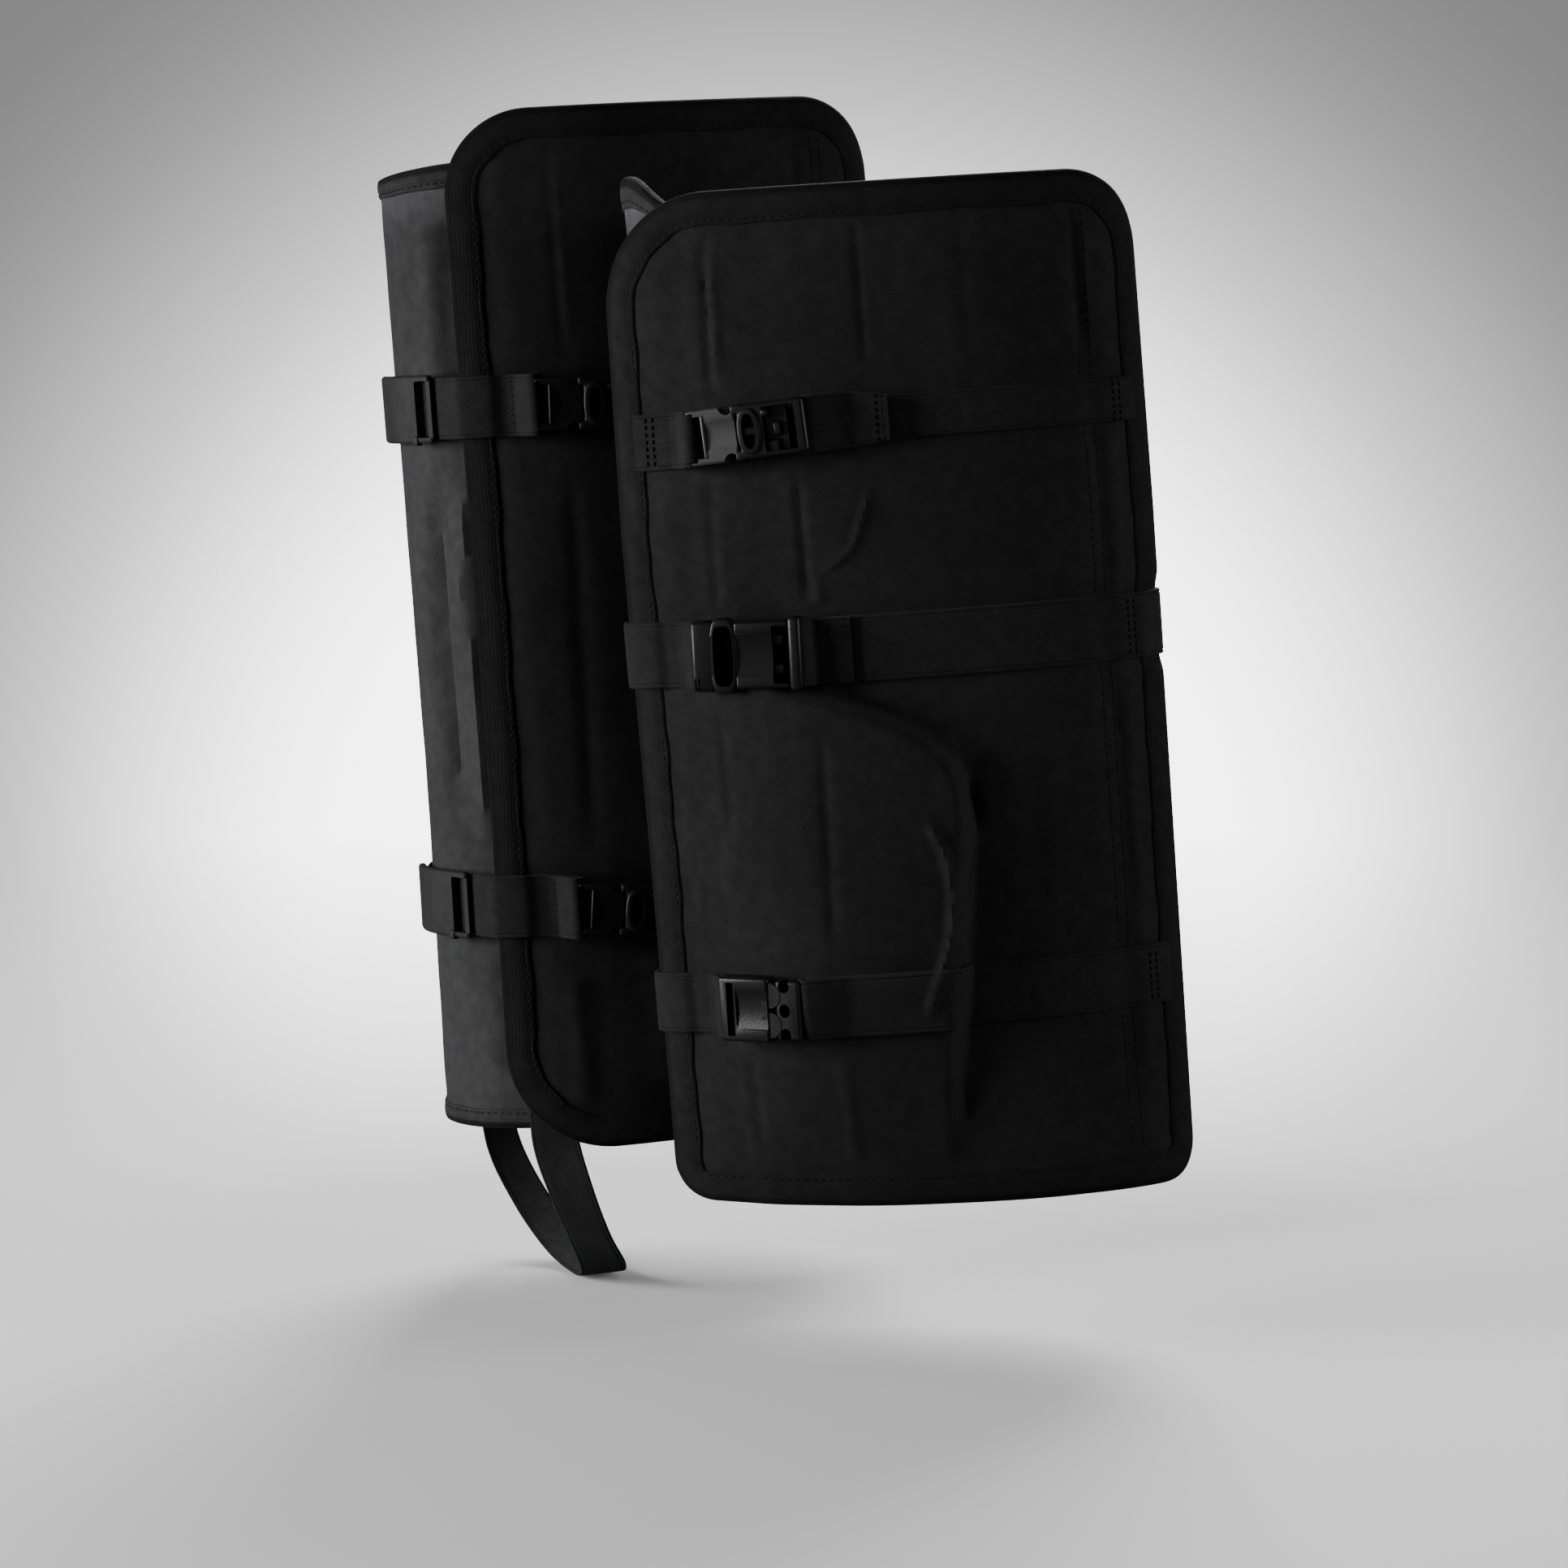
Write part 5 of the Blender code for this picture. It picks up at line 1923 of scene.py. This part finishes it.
@dataclass
class Closure:
    """Webbing on both sides of a buckle, with its slide at the shin."""

    gaiter: Gaiter
    plan: StrapPlan
    sewn: float = 0.004
    rising: float = 0.001
    bar_clear: float = 0.0029
    bar_reach: float = 0.0030
    fold: float = 0.010
    tail_start: float = 0.0344
    shortest_tail: float = 0.012

    def __post_init__(self) -> None:
        """Read the forms, name the pieces and work out the lifts."""
        self.flap, self.leg = self.gaiter.flap, self.gaiter.leg
        self.label = "%s_%s_" % (self.gaiter.plan.name, self.plan.name)
        self.buckle = BUCKLES[self.plan.kind]
        self.joint = self.plan.buckle + self.buckle.base
        self.half = CLOTH.web_wall / 2.0 + CLOTH.web_gap
        self.over_tape = CLOTH.tape_lift + 0.0004
        self.doubled = self.half + CLOTH.web_wall + 0.0003

    def share(self, girth: float) -> float:
        """Share of the webbing's width at a girth, narrower towards the calf if the plan says so."""
        narrow = self.plan.width_right / self.plan.width
        return 1.0 + min(narrow - 1.0, 0.0) * float(smooth(np.array((girth + 0.020) / 0.030)))

    def middle(self, girth: float) -> float:
        """Height of the strap's middle line at a girth of the flap."""
        return float(strap_height(self.plan, np.array(girth)))

    def on_flap(self, lift: float) -> Offset:
        """Offset of webbing that lies a distance above the flap."""
        return lambda g, h: self.flap.outer(g, h) + lift

    def lay(self, band: Band, start: float, end: float, lifts: Sequence[Span]) -> None:
        """Lay webbing along the flap.

        Args:
            band: the webbing.
            start: first girth.
            end: last girth.
            lifts: girths and lifts above the cloth, in the webbing's order.
        """
        count = max(2, round(abs(end - start) / 0.0015))
        girths, values = zip(*sorted(lifts))
        for girth in map(float, np.linspace(start, end, count + 1)):
            lift = float(np.interp(girth, girths, values))
            band.add(self.flap, girth, self.middle(girth), self.on_flap(lift), self.share(girth))

    def turn_round(self, band: Band, bar: float, centre: float, clear: float, towards: float) -> None:
        """Turn webbing round a buckle's bar, from below it to above it.

        Args:
            band: the webbing.
            bar: girth of the bar.
            centre: height of its middle above the cloth.
            clear: how far the webbing clears its middle.
            towards: 1 where it comes from the right, -1 from the left.
        """
        for turn in map(math.radians, range(-90, 91, 15)):
            girth = bar - towards * self.bar_reach * math.cos(turn)
            band.add(self.flap, girth, self.middle(girth), self.on_flap(centre + clear * math.sin(turn)))

    def build(self) -> None:
        """Make and dress every piece of the closure."""
        place, dressing = self.seat(), self.gaiter.dressing
        latch = self.buckle.latch(self.label + "latch_moulding").seat(place)
        dressing.place(latch, self.plan.latch_finish, Slot.BUCKLE, (self.label + "latch",))
        socket = self.buckle.socket_half(self.label + "socket_moulding").seat(place)
        dressing.place(socket, "buckle", Slot.BUCKLE, (self.label + "socket",))
        self.build_long()
        self.build_short()

    def seat(self) -> Matrix:
        """Find where the buckle lies: X along the strap, +Y into the leg, Z up.

        Returns:
            The seat's place and turn.
        """
        girths = np.array((self.plan.buckle, self.joint, self.joint + self.buckle.base))
        heights = strap_height(self.plan, girths)
        places = self.flap.world(self.flap.surface(girths, heights, self.flap.outer(girths, heights)))
        along = Vector(places[2] - places[0]).normalized()
        upward = Vector(self.flap.turning @ np.array((0.0, 0.0, 1.0)))
        inward = upward.cross(along).normalized()
        turn = Matrix((along, inward, along.cross(inward))).transposed().to_4x4()
        return Matrix.Translation(Vector(places[1]) - inward * self.buckle.seat_lift) @ turn

    def start_long(self, band: Band) -> float:
        """Lay the long strap's first stretch, sewn to the flap's right edge or going on behind it.

        Args:
            band: the webbing.

        Returns:
            The girth where it lies on the flap.
        """
        right, half, over = self.flap.right, self.half, self.over_tape
        inner_edge = right - CLOTH.tape_width
        if not self.plan.over_right:
            start = inner_edge + self.sewn
            self.lay(band, start, start - 2.0 * self.sewn, [(start, half), (start - 2.0 * self.sewn, half)])
            return start - 2.0 * self.sewn
        near = self.leg.girth_at(self.flap.last_turn + CLOTH.calf_turn)
        for girth in np.linspace(near + self.plan.over_right, near, 18):
            band.add(self.leg, float(girth), self.plan.height, lambda g, h: self.leg.outer(g, h) + half)
        near_edge = right + over * 0.4
        self.lay(band, near_edge, inner_edge - self.sewn,
                 [(near_edge, half + over * 0.6), (inner_edge, half + over), (inner_edge - 0.003, half)])
        return inner_edge - self.sewn

    def build_long(self) -> None:
        """The long strap: from the flap's right edge to the socket's bar and back over itself."""
        plan, half, top, rising = self.plan, self.half, self.doubled, self.rising
        band = Band(self.label + "webbing_long", width=plan.width)
        start = self.start_long(band)
        bar = self.joint + self.buckle.socket_bar
        centre = self.buckle.seat_lift + self.buckle.depth / 2.0
        tail_end = self.joint + self.tail_start + max(plan.tail, self.shortest_tail)
        self.lay(band, start, bar + rising,
                 [(start, half), (bar + 0.012, half), (bar + rising, centre - self.bar_clear + 0.0006)])
        self.turn_round(band, bar, centre, self.bar_clear, 1.0)
        self.lay(band, bar + rising, tail_end,
                 [(bar + rising, centre + self.bar_clear), (bar + 0.014, top + 0.0004),
                  (tail_end - 0.014, top + 0.0002), (tail_end, top + plan.tail_rise)])
        stitches = StitchRow(self.label + "webbing_long_stitches", length=0.0020, pitch=0.0028)
        if plan.tail:
            self.edge_stitch(stitches, tail_end - 0.0052, top + half + plan.tail_rise * 0.8)
        else:
            self.box_stitch(stitches, tail_end - 0.008, tail_end - 0.0015, top + half)
        self.edge_stitch(stitches, self.flap.right - CLOTH.tape_width - 0.006, half * 2.0 + CLOTH.web_gap)
        nodes = [self.label + "strap_long"] + ([self.label + "tail"] if plan.tail else [])
        self.dress(band, stitches, nodes)

    def start_short(self, band: Band) -> tuple[float, float]:
        """Lay the short strap's first stretch, from the flap's left edge or from the shin over it.

        Args:
            band: the webbing.

        Returns:
            The girth where it lies on the flap, and how much of it lies on the wrap before that.
        """
        plan, half, over, left = self.plan, self.half, self.over_tape, self.flap.left
        inner_edge = left + CLOTH.tape_width
        if plan.anchor_turn is None:
            start = inner_edge - 0.003
            self.lay(band, start, start + self.sewn, [(start, half), (start + self.sewn, half)])
            return start + self.sewn, 0.0
        edge, height = np.array(left), np.array(plan.height_left)
        corner = self.flap.surface(edge - over, height, self.flap.outer(edge, height) + over)
        shin = self.leg.girth_at(self.landing(corner))
        for girth in np.linspace(self.leg.girth_at(plan.anchor_turn), shin, 60):
            band.add(self.leg, float(girth), plan.height_left,
                     lambda g, h: self.leg.outer(g + self.leg.lap, h) + half)
        landed = float(band.travelled()[-1])
        self.lay(band, left - over, left - over + 0.0002,
                 [(left - over, half + over * 0.6), (left - over + 0.0002, half + over * 0.8)])
        self.lay(band, left + 0.0004, inner_edge + self.sewn,
                 [(left + 0.0004, half + over), (inner_edge, half + over), (inner_edge + 0.003, half)])
        return inner_edge + self.sewn, landed

    def build_short(self) -> None:
        """The short strap: from the latch's bar over the flap's left edge to the shin."""
        plan, half, top, rising = self.plan, self.half, self.doubled, self.rising
        band = Band(self.label + "webbing_short", width=plan.width)
        place, centre, clear = self.buckle.latch_bar
        bar = place + self.joint
        fold = bar - self.fold
        start, landed = self.start_short(band)
        self.lay(band, start, bar - rising,
                 [(start, half), (fold, half), (bar - rising, centre - clear + 0.0004)])
        self.turn_round(band, bar, centre, clear, -1.0)
        self.lay(band, bar - rising, fold,
                 [(bar - rising, centre + clear), (bar - 0.007, top + 0.0006), (fold, top)])
        stitches = StitchRow(self.label + "webbing_short_stitches", length=0.0020, pitch=0.0028)
        self.edge_stitch(stitches, fold + 0.0018, top + half)
        if plan.anchor_turn is None:
            self.edge_stitch(stitches, self.flap.left + CLOTH.tape_width + 0.0020, half * 2.0 + CLOTH.web_gap)
        self.dress(band, stitches, [self.label + "strap_short"], landed)

    def dress(self, band: Band, stitches: StitchRow, nodes: Sequence[str], landed: float = 0.0) -> None:
        """Args:
            band: the webbing.
            stitches: its stitches.
            nodes: CAD nodes that it replaces.
            landed: how much of it lies on the wrap before its slide, 0 where it has none.
        """
        dressing, piece = self.gaiter.dressing, band.make()
        dressing.place(piece, "webbing", Slot.WEBBING, nodes)
        if landed:
            slide = Slide().build(self.label + "slide_moulding", band, landed)
            dressing.place(slide, "slide", Slot.BUCKLE, (self.label + "slide",))
        thread = stitches.make()
        dressing.place(thread, "thread", Slot.WEBBING)

    def landing(self, corner: Array) -> float:
        """Follow webbing pulled straight back from a corner.

        Args:
            corner: the place it is pulled from.

        Returns:
            The turn at which it first lies on the wrap.
        """
        for turn in np.arange(-60.0, -170.0, -0.5):
            place, normal = self.leg.oval(np.array(turn), np.array(self.plan.height_left))
            away = corner[:2] - (place + normal * (CLOTH.wrap_wall + self.half))
            if float(np.dot(normal, away)) <= 0.0:
                return float(turn)
        return -170.0

    def box_stitch(self, row: StitchRow, start: float, end: float, lift: float) -> None:
        """Sew a box with a cross through folded webbing.

        Args:
            row: the stitches.
            start: girth of one side.
            end: girth of the other.
            lift: how far above the flap it lies.
        """
        half = self.plan.width / 2.0 - CLOTH.selvedge
        corners = ((start, -half), (end, -half), (end, half), (start, half), (start, -half), (end, half))
        for (g0, h0), (g1, h1) in zip(corners, corners[1:]):
            girth = np.linspace(g0, g1, 12)
            height = np.linspace(h0, h1, 12) + strap_height(self.plan, girth)
            row.run(*surface_line(self.flap, girth, height, self.on_flap(lift)))

    def edge_stitch(self, row: StitchRow, girth: float, lift: float) -> None:
        """Sew across the webbing in two lines.

        Args:
            row: the stitches.
            girth: where the first line lies.
            lift: how far above the flap it lies.
        """
        half = self.plan.width / 2.0 - 0.0016
        for shift in (0.0, 0.0028):
            height = np.linspace(-half, half, 12) + self.middle(girth)
            row.run(*surface_line(self.flap, np.full(12, girth + shift), height, self.on_flap(lift)))


@dataclass
class Slide:
    """A moulded slide that lies on the webbing round the shin, with a slot and a thin bar."""

    half: float = 0.0142
    proud: float = 0.0036
    ends: Span = (-0.024, 0.0225)
    slot: Span = (0.0125, 0.0195)
    margin: float = 0.0024
    pitch: float = 0.003
    reach: float = 0.004

    def build(self, name: str, band: Band, landed: float) -> Piece:
        """Shape the slide flat and lay it round the shin.

        Args:
            name: the piece's name.
            band: the webbing it lies on.
            landed: distance along the webbing where it leaves the wrap.

        Returns:
            The finished slide.
        """
        half, front, inside = self.half, -self.proud, even(self.half - self.margin)
        made = Moulding.block(name, self.ends, (front, 0.0), even(half)).bevel(0.0016, 4)
        made.cut(self.slot, THROUGH, inside, 0.0010)
        made.cut((self.slot[1] - 0.0003, 0.0240), (front - 0.001, front + 0.0013), inside)
        made.add((0.0090, 0.0130), (front - 0.0008, -0.0010), (-half - 0.0008, -half + 0.0034), 0.0009)
        piece = made.piece
        select_only(piece)
        bpy.ops.object.mode_set(mode="EDIT")
        for place in np.arange(self.ends[0] + 0.002, 0.020, self.pitch):
            bpy.ops.mesh.select_all(action="SELECT")
            bpy.ops.mesh.bisect(plane_co=(float(place), 0.0, 0.0), plane_no=(1.0, 0.0, 0.0))
        bpy.ops.object.mode_set(mode="OBJECT")
        points = get_points(piece)
        travelled, table = band.travelled(), np.stack(band.sections)
        distance = landed + points[:, 0]
        low, line, high = table[:, 0], table[:, band.across // 2], table[:, band.across]
        along = unit(read_line(distance + self.reach, travelled, line)
                     - read_line(distance - self.reach, travelled, line))
        upward = unit(read_line(distance, travelled, high) - read_line(distance, travelled, low))
        inward = np.cross(upward, along) * (points[:, 1:2] - band.wall / 2.0 - CLOTH.web_gap)
        set_points(piece, read_line(distance, travelled, line) + upward * points[:, 2:] + inward)
        outward_faces(piece)
        shade(piece, 32.0)
        return piece


@dataclass
class Stirrup:
    """The rear gaiter's strap under the foot."""

    gaiter: Gaiter
    width: float = 0.020
    wall: float = 0.0014

    def build(self) -> None:
        """Make the strap on a smooth route through its sections."""
        route = np.array(STIRRUP_ROUTE)
        fine = np.linspace(0.0, len(route) - 1.0, 120)
        table = np.stack([catmull(fine, route[:, column]) for column in range(5)], axis=-1)
        band = Band("rear_stirrup_webbing", width=self.width, wall=self.wall)
        form = self.gaiter.leg
        for index, row in enumerate(table):
            before, after = table[max(index - 1, 0)], table[min(index + 1, len(table) - 1)]
            along = unit(after[:3] - before[:3])
            turn, tip = np.radians(row[3:])
            out = np.array((math.sin(turn) * math.cos(tip), -math.cos(turn) * math.cos(tip), -math.sin(tip)))
            out = unit(out - along * np.dot(out, along))
            middle = row[:3] + out * band.wall / 2.0
            band.sections.append(form.world(middle + band.spread()[:, None] * np.cross(out, along)))
        piece = band.make()
        self.gaiter.dressing.place(piece, "webbing", Slot.WEBBING, ("rear_stirrup",))


def catmull(where: Array, values: Array) -> Array:
    """Smooth curve through values at whole places.

    Args:
        where: the places to read.
        values: the values at places 0, 1, 2 and on.

    Returns:
        The curve's values.
    """
    index = np.clip(where.astype(int), 0, len(values) - 2)
    part = where - index
    padded = np.concatenate(([2 * values[0] - values[1]], values, [2 * values[-1] - values[-2]]))
    a, b, c, d = (padded[index + step] for step in range(4))
    return 0.5 * (2 * b + (c - a) * part + (2 * a - 5 * b + 4 * c - d) * part ** 2
                  + (3 * b - a - 3 * c + d) * part ** 3)


# ---- Studio ----


@dataclass(frozen=True)
class Lamp:
    """A square soft light that faces the pair."""

    name: str
    place: tuple[float, float, float]
    size: float
    power: float

    def build(self) -> None:
        """Add the light."""
        data = bpy.data.lights.new(self.name, "AREA")
        data.size = self.size
        data.energy = self.power
        lamp = bpy.data.objects.new(self.name, data)
        bpy.context.collection.objects.link(lamp)
        lamp.location = self.place
        lamp.rotation_euler = (-Vector(self.place)).to_track_quat("-Z", "Y").to_euler()


@dataclass
class Studio:
    """Camera, floor, backdrop and soft light."""

    lens: float = 100.0
    sensor: float = 36.0
    pitch: float = 6.5
    place: tuple[float, float, float] = (0.0, -1.7785, 0.2026)
    lamps: tuple[Lamp, ...] = (
        Lamp("key", (-2.14, -0.63, 0.30), 1.0, 113.0),
        Lamp("front", (-0.9, -2.2, 0.4), 1.4, 3.6),
        Lamp("side", (2.4, -0.55, 0.5), 1.0, 38.0),
        Lamp("back", (0.5, 1.5, 1.5), 1.2, 60.0),
    )
    floor_height: float = -0.2276
    floor_radius: float = 3.2
    floor_seen: float = 0.80
    floor_thrown: float = 0.16
    floor_fade: Span = (0.35, 1.7)
    glow_drop: float = 8.0
    glow: tuple[Span, ...] = ((0.0, 6.5), (6.0, 5.8), (8.0, 2.4), (10.0, 0.95), (12.5, 0.37), (15.5, 0.19),
                              (30.0, 0.40))
    soft_share: float = 0.30

    def build(self) -> None:
        """Add everything that isn't the object."""
        self.add_camera()
        self.add_floor()
        self.add_backdrop()
        for lamp in self.lamps:
            lamp.build()

    def add_camera(self) -> None:
        """Add the camera a little above the pair, looking slightly down."""
        data = bpy.data.cameras.new("camera")
        data.lens = self.lens
        data.sensor_width = self.sensor
        camera = bpy.data.objects.new("camera", data)
        bpy.context.collection.objects.link(camera)
        camera.location = self.place
        camera.rotation_euler = (math.radians(90.0 - self.pitch), 0.0, 0.0)
        bpy.context.scene.camera = camera

    def add_floor(self) -> None:
        """Add a plain pale floor under the foot strap, which fades out into the backdrop."""
        deselect()
        bpy.ops.mesh.primitive_circle_add(vertices=96, radius=self.floor_radius, fill_type="NGON",
                                          location=(0.0, 0.0, self.floor_height))
        floor = take_new("floor")
        material = bpy.data.materials.new("pale floor")
        material.use_nodes = True
        tree = material.node_tree
        inputs = tree.nodes["Principled BSDF"].inputs
        inputs["Roughness"].default_value = 0.9
        wire = Wiring(tree)
        seen = tree.nodes.new("ShaderNodeLightPath").outputs["Is Camera Ray"]
        shade_seen = wire.ramp(seen, (0.0, 1.0), (self.floor_thrown, self.floor_seen))
        tree.links.new(shade_seen, inputs["Base Color"])
        place = wire.parts(tree.nodes.new("ShaderNodeTexCoord").outputs["Object"])
        across, ahead = (wire.math("POWER", wire.math("ABSOLUTE", place[axis]), 2.0) for axis in ("X", "Y"))
        away = wire.math("SQRT", wire.math("ADD", across, ahead))
        tree.links.new(wire.ramp(away, self.floor_fade, (1.0, 0.0)), inputs["Alpha"])
        floor.data.materials.append(material)

    def add_backdrop(self) -> None:
        """Add a plain backdrop that is brightest low behind the pair."""
        world = bpy.data.worlds.new("studio")
        bpy.context.scene.world = world
        world.use_nodes = True
        tree = world.node_tree
        wire = Wiring(tree)
        background = tree.nodes["Background"].inputs
        drop = math.radians(self.glow_drop)
        facing = tree.nodes.new("ShaderNodeVectorMath")
        facing.operation = "DOT_PRODUCT"
        facing.inputs[1].default_value = (0.0, math.cos(drop), -math.sin(drop))
        tree.links.new(tree.nodes.new("ShaderNodeTexCoord").outputs["Generated"], facing.inputs[0])
        angle = wire.math("MULTIPLY", wire.math("ARCCOSINE", facing.outputs["Value"]), 180.0 / math.pi)
        ramp = tree.nodes.new("ShaderNodeValToRGB")
        ramp.color_ramp.interpolation = "B_SPLINE"
        stops = ramp.color_ramp.elements
        widest, brightest = self.glow[-1][0], self.glow[0][1]
        for index, (degrees, level) in enumerate(self.glow):
            stop = stops[index] if index < 2 else stops.new(degrees / widest)
            stop.position = degrees / widest
            stop.color = (*[level / brightest] * 3, 1.0)
        tree.links.new(wire.math("DIVIDE", angle, widest), ramp.inputs["Fac"])
        tree.links.new(ramp.outputs["Color"], background["Color"])
        seen = tree.nodes.new("ShaderNodeLightPath").outputs["Is Camera Ray"]
        strength = wire.ramp(seen, (0.0, 1.0), (brightest * self.soft_share, brightest))
        tree.links.new(strength, background["Strength"])


def main() -> None:
    """Build the studio and both gaiters."""
    logging.basicConfig(level=logging.INFO, format="%(name)s: %(message)s")
    Studio().build()
    groups = {"weave": plain_weave_group(), "ribs": rib_group(), "wear": wear_group()}
    dressing = Dressing({key: finish.build(groups) for key, finish in FINISHES.items()})
    front, rear = Gaiter(FRONT, dressing), Gaiter(REAR, dressing)
    front.build()
    rear.build()
    Stirrup(rear).build()


if __name__ == "__main__":
    main()
